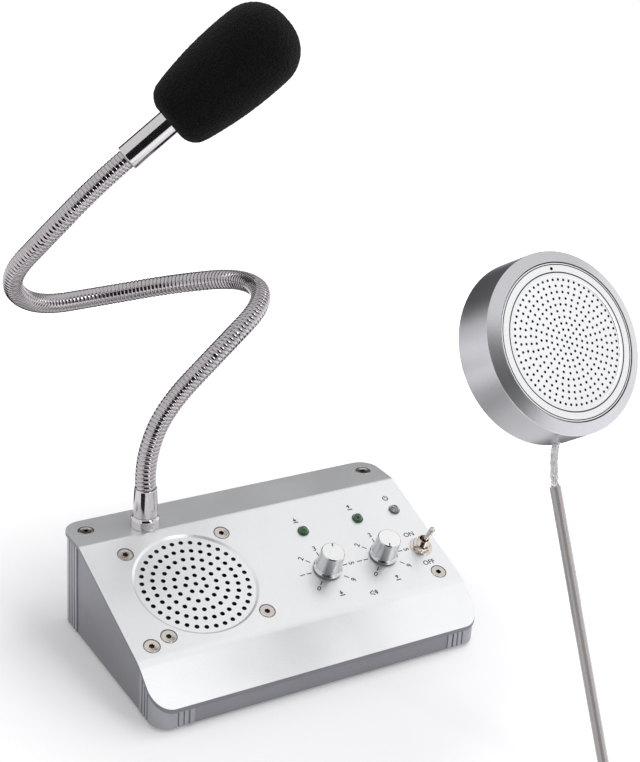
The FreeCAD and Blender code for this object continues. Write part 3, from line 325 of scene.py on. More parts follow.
def spun(name, outline, steps, axis=(0, 0, 1)):
    """Corners of (distance from the axis, place along it), drawn and turned about X or Z."""
    def at(radius, along):
        return (along, 0, radius) if axis[0] else (radius, 0, along)

    piece = start_vertex(name, *at(*outline[0]))
    for (r0, a0), (r1, a1) in zip(outline, outline[1:]):
        draw_on(*at(r1 - r0, a1 - a0))
    select_all()
    bpy.ops.mesh.spin(steps=steps, angle=math.tau, center=(0, 0, 0), axis=axis)
    tidy_shell()
    return piece


def prism(name, corners, z0, z1):
    """A flat outline of (x, y) corners, filled and drawn up from z0 to z1."""
    piece = start_vertex(name, *corners[0], z0)
    for (x0, y0), (x1, y1) in zip(corners, corners[1:]):
        draw_on(x1 - x0, y1 - y0, 0)
    select_all()
    bpy.ops.mesh.edge_face_add()
    draw_on(0, 0, z1 - z0)
    tidy_shell()
    return piece


def arc(radius, first, last, steps, x=0.0, y=0.0):
    """The points of an arc about (x, y), from one angle to another in degrees."""
    angles = [math.radians(first + (last - first) * k / steps) for k in range(steps + 1)]
    return [(x + radius * math.cos(a), y + radius * math.sin(a)) for a in angles]


def circle(radius, count, first=0.0):
    return arc(radius, first, first + 360, count)[:-1]


# %% Bench tools: moving, cutting and finishing
def joined(name, pieces):
    pick(*pieces)
    if len(pieces) > 1:
        bpy.ops.object.join()
    pieces[0].name = name
    return pieces[0]


def moved(piece, matrix):
    piece.matrix_world = matrix
    pick(piece)
    bpy.ops.object.transform_apply(location=True, rotation=True, scale=True)
    return piece


def copies(piece, places):
    """A copy with its own mesh at each place. The piece itself is thrown away."""
    made = []
    for place in places:
        pick(piece)
        bpy.ops.object.duplicate(linked=False)
        made.append(moved(bpy.context.active_object, place))
    bpy.data.objects.remove(piece)
    return made


def pin(radius, z0, z1, x=0.0, y=0.0, sides=24):
    """A plain round cutting tool."""
    bench()
    middle = (x, y, (z0 + z1) / 2)
    bpy.ops.mesh.primitive_cylinder_add(vertices=sides, radius=radius, depth=z1 - z0, location=middle)
    return moved(bpy.context.active_object, bpy.context.active_object.matrix_world.copy())


def modify(piece, kind, **settings):
    """Adds a modifier, sets it and applies it."""
    modifier = preset(piece.modifiers.new(kind.lower(), kind), **settings)
    pick(piece)
    bpy.ops.object.modifier_apply(modifier=modifier.name)
    return piece


def cut(piece, tool, operation="DIFFERENCE"):
    """Cuts with another shape, whose material the cut faces keep, and throws the tool away."""
    modify(piece, "BOOLEAN", operation=operation, solver="EXACT", material_mode="TRANSFER", object=tool)
    bpy.data.objects.remove(tool)
    return piece


def coloured(piece, material):
    piece.data.materials.clear()
    piece.data.materials.append(material)
    return piece


def soften(piece, width=0.0, angle=35, flats=()):
    """Rounds the sharp edges. Faces that look one of the given ways stay flat in the shading."""
    if width:
        modify(piece, "BEVEL", width=width, segments=2, limit_method="ANGLE",
               angle_limit=math.radians(angle), miter_outer="MITER_ARC")
    pick(piece)
    bpy.ops.object.shade_smooth_by_angle(angle=math.radians(40))
    for face in piece.data.polygons:
        if any(abs(face.normal.dot(way)) > 0.99999 for way in flats):
            face.use_smooth = False
    return modify(piece, "WEIGHTED_NORMAL", mode="FACE_AREA", weight=90, keep_sharp=True)


def set_in_place(piece, body, slot, *nodes):
    """Into metres, onto its body, and instead of the solids it stands for."""
    moved(piece, MILLI)
    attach(piece, body)
    if nodes:
        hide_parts(*nodes)
    print(piece.name, "faces", len(piece.data.polygons))


def fit(piece, material, place, body, slot, node, edge=0.0):
    """Colours, softens and moves a piece, and sets it in place."""
    soften(coloured(piece, material), edge)
    set_in_place(moved(piece, place), body, slot, node)


# %% [markdown]
# ## Places
# The housing's top is a flat, a 20 degree slope and a steeper front. Everything on the slope is placed by
# its distance x from the middle and its distance s down the slope from the rear bend. The round unit and the
# microphone have axes of their own, given by the model.

# %% Places on the slope, on the round unit and on the microphone
SLOPE = math.radians(20)
DESK_W, DESK_D, DESK_H, FRONT_H = 180.0, 113.0, 52.1, 12.4
BEND_Y = 31.6
SLOPE_LEN = 73.22
MID_Y = BEND_Y - SLOPE_LEN * math.cos(SLOPE)
MID_Z = DESK_H - SLOPE_LEN * math.sin(SLOPE)
PANEL_T = 1.8
UP = Vector((0, 0, 1))
HEAD = Vector((-46.9, 79.35, 226.2))
MIC_AXIS = Vector((11.9, -2.7, 10.4)).normalized()
NECK = Vector((-51.8, 39.0, DESK_H))
CAN_AT = Vector((68.0, -114.9, 189.0))
CAN_TILT, CAN_YAW = math.radians(33.0), math.radians(2.4)


def on_slope(x, s, lift=0.0, turn=0.0):
    y = BEND_Y - s * math.cos(SLOPE) - lift * math.sin(SLOPE)
    z = DESK_H - s * math.sin(SLOPE) + lift * math.cos(SLOPE)
    tilt = Matrix.Rotation(SLOPE, 4, "X") @ Matrix.Rotation(math.radians(turn), 4, "Z")
    return Matrix.Translation((x, y, z)) @ tilt


def frame_along(origin, z_dir, x_hint):
    z_dir = z_dir.normalized()
    x_dir = (x_hint - z_dir * x_hint.dot(z_dir)).normalized()
    turn = Matrix((x_dir, z_dir.cross(x_dir), z_dir)).transposed()
    return Matrix.Translation(origin) @ turn.to_4x4()


def on_mic(along=0.0):
    return frame_along(HEAD + MIC_AXIS * (1.5 + along), MIC_AXIS, UP)


CAN_ACROSS = Vector((math.cos(CAN_YAW), math.sin(CAN_YAW), 0))
CAN_AXIS = CAN_ACROSS.cross(UP) * math.cos(CAN_TILT) + UP * math.sin(CAN_TILT)
ON_CAN = frame_along(CAN_AT, CAN_AXIS, CAN_ACROSS)
ON_PLUG = frame_along(Vector(END_POINTS[-1]), Vector(END_POINTS[-1]) - Vector(END_POINTS[-2]), UP)
print("slope ends at y", round(MID_Y, 2), "z", round(MID_Z, 2))

# %% [markdown]
# ## Finishes
# The housing is bent aluminium sheet, blasted and anodised to a pale satin silver, on anodised walls and
# corner extrusions drawn in darker greys; the walls' dark grey is painted shade over a silver only a little
# darker than the sheet. Screws, switch and neck fittings are plated: nickel is warm and a little soft, chrome
# is a mirror. The grain of a blasted finish is finer than the render can show, so it is drawn about half a
# millimetre wide.

# %% Finishes of the housing and its controls
panel_silver = grainy("blasted_anodised_aluminium_panel", "#E9EAEC", "#F4F5F7", 0.8, 0.36, 0.5, bump=0.08)
# The walls' dark grey is painted shade over a silver that is only a little darker than the sheet.
wall_silver_painted_shade = grainy("satin_aluminium_wall_painted_shade", "#86868C", "#97979D", 0.8, 0.36, 0.5, bump=0.1,
    stretch=(1, 1, 6))
post_silver = grainy("satin_anodised_aluminium_extrusion", "#9D9DA4", "#B0B0B6", 0.8, 0.34, 0.5, bump=0.1,
    stretch=(6, 6, 1))
screw_nickel = grainy("bright_nickel_plated_steel", "#C2BBB4", "#D8D2CB", 1.0, 0.22, 0.4, bump=0.03)
# Dark brown for the hex sockets: painted shade in the recess.
socket_painted_shade = grainy("hex_socket_painted_shade", "#4E443D", "#665A52", 1.0, 0.4, 0.4, bump=0.1)
# Mid grey for the sheet's cut edge: painted shade that gives the edge band the walls' tone.
sheet_edge_painted_shade = grainy("sheet_edge_grey_painted_shade", "#7C7C82", "#94949A", 0.6, 0.45, 0.5)
# Dark grey for the walls of countersinks and holes: painted shade in the recesses.
sink_painted_shade = grainy("recess_wall_painted_shade", "#4A4A4E", "#5E5E62", 0.6, 0.5, 0.5, bump=0.1)
hole_black = grainy("punched_hole_in_shadow", "#0B0B0C", "#151516", 0.0, 0.7, 0.5)
knob_silver = grainy("polished_aluminium_knob", "#C9C9CC", "#DADADC", 1.0, 0.18, 0.6, bump=0.0, spread=0.02)
knob_top = grainy("fine_turned_aluminium_top", "#F2F2F3", "#FAFAFA", 0.5, 0.35, 0.5, bump=0.0)
ink_grey = grainy("screen_printed_ink", "#1A1A1E", "#26262B", 0.0, 0.65, 0.5, bump=0.1)
switch_nickel = grainy("nickel_plated_brass", "#D0C7C0", "#E6DED8", 1.0, 0.16, 0.5, bump=0.04)
chrome = grainy("chrome_plated_brass", "#BFBBBE", "#D0CDCF", 1.0, 0.09, 0.9, bump=0.02, spread=0.02)
hose_chrome = grainy("chrome_plated_steel_winding", "#A39EA1", "#BFBABD", 1.0, 0.15, 0.8, bump=0.05,
    spread=0.05)

# %% [markdown]
# ## Top panel
# On the real unit this is one sheet of aluminium, bent twice, with its corners rounded and its holes
# punched. So it is made the same way: a line with the two bends is drawn across the unit, its bends are
# rounded, it is given the sheet's thickness, and the round corners, the countersinks, the loudspeaker's
# shallow dish and the 107 sound holes are cut. At the end a small bevel catches the light along every edge.

# %% Bend the sheet
CORNER_R = 10.0
REAR_BEND_R, FRONT_BEND_R = 5.0, 15.0
SPARE = 1                     # the sheet is drawn this much too large all round, and then cut to its outline
PANEL_WAYS = [UP, Vector((0, -math.sin(SLOPE), math.cos(SLOPE))),
              Vector((0, -(MID_Z - FRONT_H), MID_Y + DESK_D / 2)).normalized()]


def flat_bends():
    """The sheet as a surface with two sharp bends."""
    front = Vector((0, -DESK_D / 2 - MID_Y, FRONT_H - MID_Z))
    front *= 1 + 4 * SPARE / front.length
    sheet = start_vertex("top_panel_skin", -DESK_W / 2 - SPARE, DESK_D / 2 + SPARE, DESK_H)
    draw_on(0, BEND_Y - DESK_D / 2 - SPARE, 0)
    draw_on(0, MID_Y - BEND_Y, MID_Z - DESK_H)
    draw_on(*front)
    select_all()
    draw_on(DESK_W + 2 * SPARE, 0, 0)
    leave()
    return sheet


def round_bend(sheet, y, radius, half_angle):
    """Bevels the crosswise edge that lies at y into an arc of the given radius."""
    for item in (*sheet.data.vertices, *sheet.data.edges, *sheet.data.polygons):
        item.select = False
    for edge in sheet.data.edges:
        ends = [sheet.data.vertices[i].co for i in edge.vertices]
        edge.select = all(abs(e.y - y) < 0.01 for e in ends)
    edit(sheet)
    bpy.ops.mesh.select_mode(type="EDGE")
    bpy.ops.mesh.bevel(offset=radius * math.tan(math.radians(half_angle)), segments=6, affect="EDGES")
    bpy.ops.mesh.select_mode(type="VERT")
    leave()


top_panel = flat_bends()
round_bend(top_panel, BEND_Y, REAR_BEND_R, 10.0)
round_bend(top_panel, MID_Y, FRONT_BEND_R, 8.6)
edit(top_panel)
tidy_shell()
modify(top_panel, "SOLIDIFY", thickness=PANEL_T, offset=-1.0, use_even_offset=True)
print("panel top at", round(max(v.co.z for v in top_panel.data.vertices), 2),
      "faces", len(top_panel.data.polygons))

# %% Cut the panel
BOTH_WAYS = (-1, 1)
SPEAKER_AT = (-44.0, 36.21)
SPEAKER_SCREW = 26.01
PANEL_SCREWS = ([Matrix.Translation((i * 80.3, 46.1, DESK_H)) for i in BOTH_WAYS]
    + [on_slope(i * 79.9, SLOPE_LEN - 8.1) for i in BOTH_WAYS])
SPEAKER_SCREWS = [on_slope(SPEAKER_AT[0] + i * SPEAKER_SCREW, SPEAKER_AT[1] + j * SPEAKER_SCREW)
    for i in BOTH_WAYS for j in BOTH_WAYS]
LAMPS = [(23.5, 20.9), (56.0, 20.9), (78.6, 20.9)]
KNOBS = [(23.6, 47.12), (56.7, 47.12)]
TOGGLE_AT = (79.6, 47.62)
HOLES = [(2.85, at) for at in LAMPS] + [(3.7, at) for at in KNOBS] + [(3.0, TOGGLE_AT)]
NECK_HOLE_R = 5.0
DISH_R, DISH_DEPTH = 31.01, 0.9
SOUND_R = 1.2
RINGS = [(7, 20.1), (14, 20.3), (21, 3.1), (29, 9.6), (35, 9.9)]    # holes in each ring, and its first angle
RING_STEP = DISH_R / 5.89


def rounded_corners(half_x, half_y, radius, steps):
    corners = []
    for sx, sy, first in ((1, 1, 0), (-1, 1, 90), (-1, -1, 180), (1, -1, 270)):
        corners += arc(radius, first, first + 90, steps, sx * (half_x - radius), sy * (half_y - radius))
    return corners


def sinks_and_holes():
    # The cut walls of the sinks and holes keep this dark grey: painted shade.
    sink = coloured(spun("sink", [(0, 0.5), (4.63, 0.5), (0, -3.88)], 40), sink_painted_shade)
    tools = copies(sink, PANEL_SCREWS + SPEAKER_SCREWS)
    tools += [moved(pin(radius, -4, 2, sides=32), on_slope(*at)) for radius, at in HOLES]
    tools.append(pin(NECK_HOLE_R, DESK_H - 4, DESK_H + 2, NECK.x, NECK.y, 32))
    return joined("sinks_and_holes", [coloured(tool, sink_painted_shade) for tool in tools])


def dish():
    outline = [(0, 0.5), (DISH_R + 0.72, 0.5), (DISH_R - 1.3, -DISH_DEPTH), (0, -DISH_DEPTH)]
    return moved(coloured(spun("dish", outline, 128), panel_silver), on_slope(*SPEAKER_AT))


def sound_holes():
    at = [(0, 0)]
    for i, (count, first) in enumerate(RINGS):
        at += circle(RING_STEP * (i + 1), count, first)
    places = [on_slope(*SPEAKER_AT) @ Matrix.Translation((x, y, 0)) for x, y in at]
    return joined("sound_holes", copies(coloured(pin(SOUND_R, -4, 2), hole_black), places))


blank = prism("outline", rounded_corners(DESK_W / 2, DESK_D / 2, CORNER_R, 14), 0, 70)
# The outline's cut faces keep the tool's mid grey: painted shade on the sheet's edge.
cut(coloured(top_panel, panel_silver), coloured(blank, sheet_edge_painted_shade), "INTERSECT")
cut(top_panel, sinks_and_holes())
cut(top_panel, dish())
soften(top_panel, 0.14, 30)
cut(top_panel, sound_holes())
soften(top_panel, flats=PANEL_WAYS)
set_in_place(top_panel, "desk_unit", "panel_aluminium", "top_panel")

# %% [markdown]
# ## Screws
# Every screw in the panel is the same countersunk one with a hex socket. It is turned, its socket is cut
# with a six-sided tool whose dark brown stays on the socket's faces as painted shade, and copies go to the
# eight places.

# %% Countersunk screws
def hexagon(across_flats):
    return circle(across_flats / math.sqrt(3), 6)


screw = spun("screw", [(0, -0.12), (2.3, -0.1), (3.0, 0), (3.5, -0.02), (3.7, -0.12), (3.74, -0.3),
    (2.0, -1.8), (2.0, -9), (0, -9)], 48)
cut(coloured(screw, screw_nickel), coloured(prism("socket", hexagon(2.5), -1.3, 0.5), socket_painted_shade))
screws = copies(soften(screw, 0.08), PANEL_SCREWS + SPEAKER_SCREWS)
for name, pieces in (("panel_screw", screws[:4]), ("speaker_screw", screws[4:])):
    set_in_place(joined(name + "_set", pieces), "desk_unit", "screw_nickel", name + "s")

# %% [markdown]
# ## Corner posts and walls
# The box's corners are aluminium extrusions with three grooves down each face, and the walls slot into them.
# An extrusion is a flat outline drawn up, so the post is an outline with its grooves, drawn up and cut off
# along the underside of the bent sheet. The walls are flat plates, so they stay as the model has them.

# %% Corner posts
POST_X, POST_Y = 89.2, 55.7
POST_LEG, POST_T, POST_R = 19.0, 6.0, 9.2
POST_FOOT, POST_TOP = 1.5, 51.0
GROOVE_PITCH, GROOVE_W, GROOVE_DEPTH, GROOVE_LEAN = 2.8, 0.9, 0.7, 0.08


def post_outline():
    """The rear right post's cross-section, from the end of one leg round the outside to the other."""
    grooves = [(0, 0)]
    for k in range(3):
        near = (k + 1) * GROOVE_PITCH - GROOVE_W / 2
        grooves += [(near, 0.0), (near + GROOVE_LEAN, GROOVE_DEPTH),
                    (near + GROOVE_W - GROOVE_LEAN, GROOVE_DEPTH), (near + GROOVE_W, 0.0)]
    back_face = [(POST_X - POST_LEG + a, POST_Y - d) for a, d in grooves]
    side_face = [(POST_X - d, POST_Y - POST_LEG + a) for a, d in grooves]
    turn = arc(POST_R, 90, 0, 10, POST_X - POST_R, POST_Y - POST_R)
    inside = [(POST_X - POST_T, POST_Y - POST_LEG), (POST_X - POST_T, POST_Y - POST_T),
              (POST_X - POST_LEG, POST_Y - POST_T)]
    return back_face + turn + side_face[::-1] + inside


def trim_under_panel(piece):
    """Cuts off what lies above the underside of the sheet's three faces, and closes the cuts."""
    corners = [(0, BEND_Y, DESK_H), (0, BEND_Y, DESK_H), (0, MID_Y, MID_Z)]
    for at, normal in zip(corners, PANEL_WAYS):
        edit(piece)
        select_all()
        under = Vector(at) - normal * PANEL_T
        bpy.ops.mesh.bisect(plane_co=under, plane_no=normal, use_fill=True, clear_outer=True)
        tidy_shell()


CORNERS = {"rear_right": (1, 1), "rear_left": (-1, 1), "front_right": (1, -1), "front_left": (-1, -1)}
whole_post = prism("post", post_outline(), POST_FOOT, POST_TOP)
posts = copies(whole_post, [Matrix.Diagonal((i, j, 1, 1)) for i, j in CORNERS.values()])
for name, post in zip(CORNERS, posts):
    post.name = f"post_{name}_extrusion"
    edit(post)
    tidy_shell()
    trim_under_panel(post)
    soften(coloured(post, post_silver), 0.12, 35, [Vector((1, 0, 0)), Vector((0, 1, 0))])
    set_in_place(post, "desk_unit", "post_aluminium", f"post_{name}")

# %% [markdown]
# ## Lamps
# Each lamp is a 5 mm epoxy lens that stands through the sheet, with a thin rim on top of it. It is turned
# with a full dome. The call lamps are tinted a deep green all through. The power lamp is water-clear, and
# its grey tint is painted shade. The dome is glass to the renderer, so a small silvered cup inside gives it
# something to magnify, as in the real one.

# %% Lamp lenses
def glassy_epoxy(name, dark, light):
    """Clear or tinted casting resin: light goes in, and comes back from the cup inside."""
    material, tree, shader, where = new_material(name)
    haze = add(tree, "TexNoise", {"Vector": where, "Scale": 900.0})
    feed(tree, shader, {"Base Color": ramp(tree, haze, [(LOW, dark), (HIGH, light)]), "Roughness": 0.05,
        "IOR": 1.53, "Transmission Weight": 0.95, "Coat Weight": 1.0})
    return material


green_epoxy = glassy_epoxy("tinted_green_epoxy", "#08602A", "#0D7434")
# The grey tint of the water-clear lens is painted shade.
clear_epoxy_painted_shade = glassy_epoxy("greyed_clear_lens_painted_shade", "#A4A5AE", "#B8B9C0")
cup_silver = grainy("stamped_silvered_cup", "#C4C4C6", "#DCDCDE", 1.0, 0.25, 0.4, bump=0.05)
lamp_places = [on_slope(*at) for at in LAMPS]
lens = spun("lens", [(0, -2.8), (3.3, -2.8), (3.3, -1.8), (2.5, -1.8), (2.5, 0.02), (2.98, 0.02),
    (3.05, 0.1), (3.05, 0.45), (2.95, 0.55), (2.5, 0.6), *arc(2.5, 0, 90, 10, 0, 0.5)[1:-1], (0, 3.0)], 48)
cup = spun("cup", [(0, -0.9), (0.7, -0.9), (1.35, 0.3), (1.45, 0.3), (1.45, -1.6), (0, -1.6), (0, -0.9)], 24)
lamps = copies(lens, lamp_places)
for lamp, material in zip(lamps, (green_epoxy, green_epoxy, clear_epoxy_painted_shade)):
    soften(coloured(lamp, material))
set_in_place(joined("call_lamp_lenses", lamps[:2]), "desk_unit", "lamp_green", "call_lamps")
set_in_place(joined("power_lamp_lens", lamps[2:]), "desk_unit", "lamp_clear", "power_lamp")
cups = joined("lamp_cups", copies(cup, lamp_places))
set_in_place(soften(coloured(cups, cup_silver)), "desk_unit", "lamp_clear")

# %% [markdown]
# ## Volume knobs
# The knobs are turned from aluminium and polished: a thin flange, a slightly tapering barrel and a flat top
# with a fine turned face, into which the pointer is cut as a short black line. The lathe leaves shallow
# marks round the barrel; they fan out what it mirrors, which is why a turned knob shows broad bands. One is
# made with its pointer straight up the slope, and both copies are turned to where they are set.

# %% Knobs
BARREL_FOOT, BARREL_R, BARREL_TAPER = 2.6, 6.35, 0.037
MARK_DEPTH, MARK_PITCH = 0.02, 0.5
KNOB_TOP = 13.0
SET_AT = {"internal_volume": 22.0, "external_volume": -150.0}       # degrees clockwise from straight up


def lathe_marks():
    heights = [BARREL_FOOT + k / 12 for k in range(118)]
    return [(BARREL_R - BARREL_TAPER * (z - BARREL_FOOT) + MARK_DEPTH * math.sin(math.tau * z / MARK_PITCH),
        z) for z in heights]


knob = spun("knob", [(3.0, 0.8), (7.1, 0.8), (7.35, 1.05), (7.35, 1.85), (6.95, 2.3), (6.55, 2.35),
    *lathe_marks(), (5.98, 12.6), (5.7, 12.96), (5.55, KNOB_TOP), (0, KNOB_TOP), (0, 10.8), (3.0, 10.8),
    (3.0, 0.8)], 96)
coloured(knob, knob_silver)
knob.data.materials.append(knob_top)
for face in knob.data.polygons:
    if face.center.z > KNOB_TOP - 0.02 and face.normal.z > 0.9:
        face.material_index = 1
pointer = prism("pointer", [(-0.3, 3.6), (0.3, 3.6), (0.3, 6.2), (-0.3, 6.2)], 12.7, 13.4)
cut(knob, coloured(pointer, ink_grey))
soften(knob, 0.06, 45, [UP])
knobs = copies(knob, [on_slope(x, s, 0, -clockwise) for (x, s), clockwise in zip(KNOBS, SET_AT.values())])
for name, piece in zip(SET_AT, knobs):
    piece.name = name + "_knob_turned"
    set_in_place(piece, name, "knob_aluminium", name + "_knob")

# %% [markdown]
# ## Power switch
# A toggle switch is held by a nut and a washer on its threaded bush, and its bat lever leans the way it is
# thrown. The thread is a saw-tooth outline on the lathe, and the nut is a six-sided prism whose corners are
# turned off by meeting it with a blunt cone.

# %% Switch
THREAD_R, THREAD_ROOT_R, THREAD_PITCH, THREADS = 3.0, 2.78, 0.45, 13
PIVOT_H, LEVER_LEAN = 2.6, math.radians(12)
thread = []
for k in range(THREADS):
    thread += [(THREAD_R, 0.2 + THREAD_PITCH * k), (THREAD_ROOT_R, 0.42 + THREAD_PITCH * k)]
washer = spun("toggle_washer_plate", [(3.0, 0), (5.85, 0), (6.0, 0.15), (6.0, 0.55), (5.85, 0.7), (3.0, 0.7),
    (3.0, 0)], 64)
nut = prism("toggle_hex_nut", hexagon(8.2), 0.7, 2.4)
cut(nut, spun("corners", [(0, 0.5), (4.6, 0.5), (4.8, 1.0), (4.8, 1.9), (4.05, 2.6), (0, 2.6)], 48),
    "INTERSECT")
cut(nut, pin(THREAD_R, 0, 3, sides=48))
bush = spun("toggle_threaded_bush", [(2.35, -1.8), (3.0, -1.8), *thread, (2.85, 6.05), (2.7, 6.2),
    (2.45, 6.2), (2.35, 6.1), (2.35, -1.8)], 48)
lever = spun("toggle_bat_lever", [(0, -2.8), (0.9, -2.8), (1.1, -1.5), (1.6, -1.2), (2.0, -0.3), (2.0, 0.3),
    (1.6, 1.2), (1.15, 1.64), (1.15, 4.0), (1.5, 12.4), (1.5, 13.5), (1.38, 14.0), (1.1, 14.35),
    (0.6, 14.55), (0, 14.6)], 32)
for name, piece, edge in (("washer", washer, 0.05), ("nut", nut, 0.05), ("bush", bush, 0)):
    fit(piece, switch_nickel, on_slope(*TOGGLE_AT), "desk_unit", "nut_nickel", "toggle_" + name, edge)
tipped = on_slope(*TOGGLE_AT) @ Matrix.Translation((0, 0, PIVOT_H)) @ Matrix.Rotation(LEVER_LEAN, 4, "X")
fit(lever, switch_nickel, tipped, "power_toggle", "shaft_steel", "toggle_lever")

# %% [markdown]
# ## Printed dials
# Each knob has a dial from 0 to 6 screen-printed round it. A tick is a thin prism, a number is a text object
# made into a mesh, and both are three hundredths of a millimetre thick, as thick as screen ink. Where the
# real panel has words, plain signs that any such unit may carry stand instead: in and out arrows, a power
# sign and a loudspeaker.

# %% Ink shapes
INK_T = 0.03
PEN_W = 0.6
CAPITAL_SHARE = 0.7           # a capital's height as a share of the font's size


def as_mesh(line):
    """Makes a mesh of a curve or a text."""
    pick(line)
    bpy.ops.object.convert(target="MESH")
    return bpy.context.active_object


def tick(length, width):
    x, y = width / 2, length / 2
    return prism("tick", [(-x, -y), (x, -y), (x, y), (-x, y)], 0, INK_T)


def lettering(text, height):
    bench()
    bpy.ops.object.text_add()
    preset(bpy.context.active_object.data, body=text, size=height / CAPITAL_SHARE, extrude=INK_T / 2,
           offset=0.055, align_x="CENTER", align_y="CENTER", resolution_u=4)
    return as_mesh(bpy.context.active_object)


def stroke(corners, closed=False):
    """A pen line: a thin round curve along the corners, made a mesh and pressed flat."""
    line = drawn("stroke", "POLY", [(x, y, 0) for x, y in corners], PEN_W / 2, 1, 1, closed)
    return moved(as_mesh(line), Matrix.Translation((0, 0, INK_T / 2)) @ Matrix.Scale(INK_T / PEN_W, 4, UP))


def arrow_sign(way):
    """An arrow above a bar: way is 1 for out and -1 for in."""
    tip = 0.5 + way
    head = [(-0.8, tip - 0.8 * way), (0, tip), (0.8, tip - 0.8 * way)]
    return [stroke([(0, 1.5), (0, -0.5)]), stroke(head), stroke([(-1.4, -1.4), (1.4, -1.4)])]


def power_sign():
    return [stroke(arc(1.35, 125, 415, 16)), stroke([(0, 0.2), (0, 1.75)])]


def loudspeaker_sign():
    cone = [(-1.9, -0.6), (-1.1, -0.6), (0, -1.5), (0, 1.5), (-1.1, 0.6), (-1.9, 0.6)]
    return [stroke(cone, closed=True), stroke(arc(1.1, -45, 45, 8)), stroke(arc(1.9, -45, 45, 8))]


# %% Print the dials and signs
TICK_R, NUMBER_R = 10.3, 14.0


def printed_dial(x, s):
    marks = []
    for number in range(7):
        at = on_slope(x, s) @ Matrix.Rotation(math.radians(135 - 45 * number), 4, "Z")
        marks += [moved(tick(2.6, 0.52), at @ Matrix.Translation((0, TICK_R, 0))),
                  moved(lettering(str(number), 2.8), at @ Matrix.Translation((0, NUMBER_R, INK_T / 2)))]
    return marks


def printed_signs():
    signs = [(arrow_sign(-1), 22.6, 13.0), (arrow_sign(1), 55.2, 12.6), (power_sign(), 78.2, 12.0),
             (arrow_sign(-1), 23.2, 63.0), (arrow_sign(1), 56.5, 62.5), (loudspeaker_sign(), 39.5, 67.5)]
    return [moved(mark, on_slope(x, s)) for marks, x, s in signs for mark in marks]


def printed_words():
    return [moved(lettering("ON", 2.7), on_slope(77.6, 38.4, INK_T / 2)),
            moved(lettering("OFF", 2.7), on_slope(78.2, 58.2, INK_T / 2))]


dials = [mark for at in KNOBS for mark in printed_dial(*at)]
ink = coloured(joined("panel_print", dials + printed_signs() + printed_words()), ink_grey)
set_in_place(ink, "desk_unit", "panel_aluminium")

# %% [markdown]
# ## Neck fittings
# A chromed ring and a slim cone hold the foot of the gooseneck. Both are turned, and both are mirror bright,
# so their small grooves and rounded rims are what the eye reads.

# %% Neck ring and ferrule
ring = spun("neck_base_ring", [(5.0, 0), (6.9, 0), (7.15, 0.25), (7.2, 0.6), (7.2, 4.3), (7.05, 4.9),
    (6.7, 5.5), (6.3, 5.85), (5.9, 6.0), (5.0, 6.0), (5.0, 0)], 96)
ferrule = spun("neck_cone_ferrule", [(3.0, -8), (5.0, -8), (5.0, 6.0), (5.9, 6.0), (6.2, 6.3), (5.62, 20.4),
    (5.5, 20.8), (5.3, 21.0), (5.12, 20.9), (3.0, 20.9), (3.0, -8)], 96)
for piece, node in ((ring, "neck_ring"), (ferrule, "neck_ferrule")):
    fit(piece, chrome, Matrix.Translation(NECK), "desk_unit", "neck_chrome", node)

# %% [markdown]
# ## Gooseneck hose
# The hose is a steel strip wound round and round, so that each turn hooks into the next. One turn is
# modelled along X as a low ridge with a groove beside it, an array repeats it, and a curve bends the row
# along the neck. The hose bends at four places in the model, so it is made as four lengths that meet halfway
# between two of them.

# %% Route of the hose
HOSE_START = Vector((-51.8, 39.0, 73.0))
HOSE_POINTS = [HOSE_START, (-52.8, 39.4, 87.0), (-41.5, 42, 112), (-16, 36, 140.5), (17.5, 48, 159),
               (26, 89, 155.5), (0.5, 118, 145.5), (-33, 133, 138), (-73, 132.5, 137),
               (-96.5, 110, 162), (-81, 88, 192), (-58.8, 82.05, 215.8), HEAD]
HOSE_STEPS = 24
HOSE_LINE, HOSE_LENGTH = line_of(HOSE_POINTS, HOSE_STEPS)
WOUND = HOSE_LENGTH + 1.5     # the winding runs a little way into the collar
TURN_MM = 2.1
TURNS = round(WOUND / TURN_MM)
PITCH = WOUND / TURNS
print("hose length mm", round(HOSE_LENGTH, 1), "turns", TURNS)


def turn_at(point):
    """The number of the turn that is nearest to a point on the route."""
    run, best, found = 0.0, 1e9, 0.0
    for a, b in zip(HOSE_LINE, HOSE_LINE[1:]):
        run += (b - a).length
        if (b - Vector(point)).length < best:
            best, found = (b - Vector(point)).length, run
    return round(found / PITCH)


# %% Wind the hose
WINDING = [(4.72, 0), (5.04, 0.22), (5.1, 1.0), (5.04, 1.72), (4.72, PITCH)]


def hose_stretch(name, first, last, guide):
    winding = moved(spun(name, WINDING, 20, (1, 0, 0)), MILLI @ Matrix.Translation((first * PITCH, 0, 0)))
    modify(winding, "ARRAY", count=last - first, use_relative_offset=False, use_constant_offset=True,
           constant_offset_displace=(PITCH * 0.001, 0, 0), use_merge_vertices=True, merge_threshold=0.00002)
    modify(winding, "CURVE", object=guide, deform_axis="POS_X")
    edit(winding)
    select_all()
    bpy.ops.mesh.fill_holes(sides=40)
    bpy.ops.mesh.normals_make_consistent(inside=False)
    leave()
    bpy.ops.object.shade_smooth_by_angle(angle=math.radians(50))
    return coloured(winding, hose_chrome)


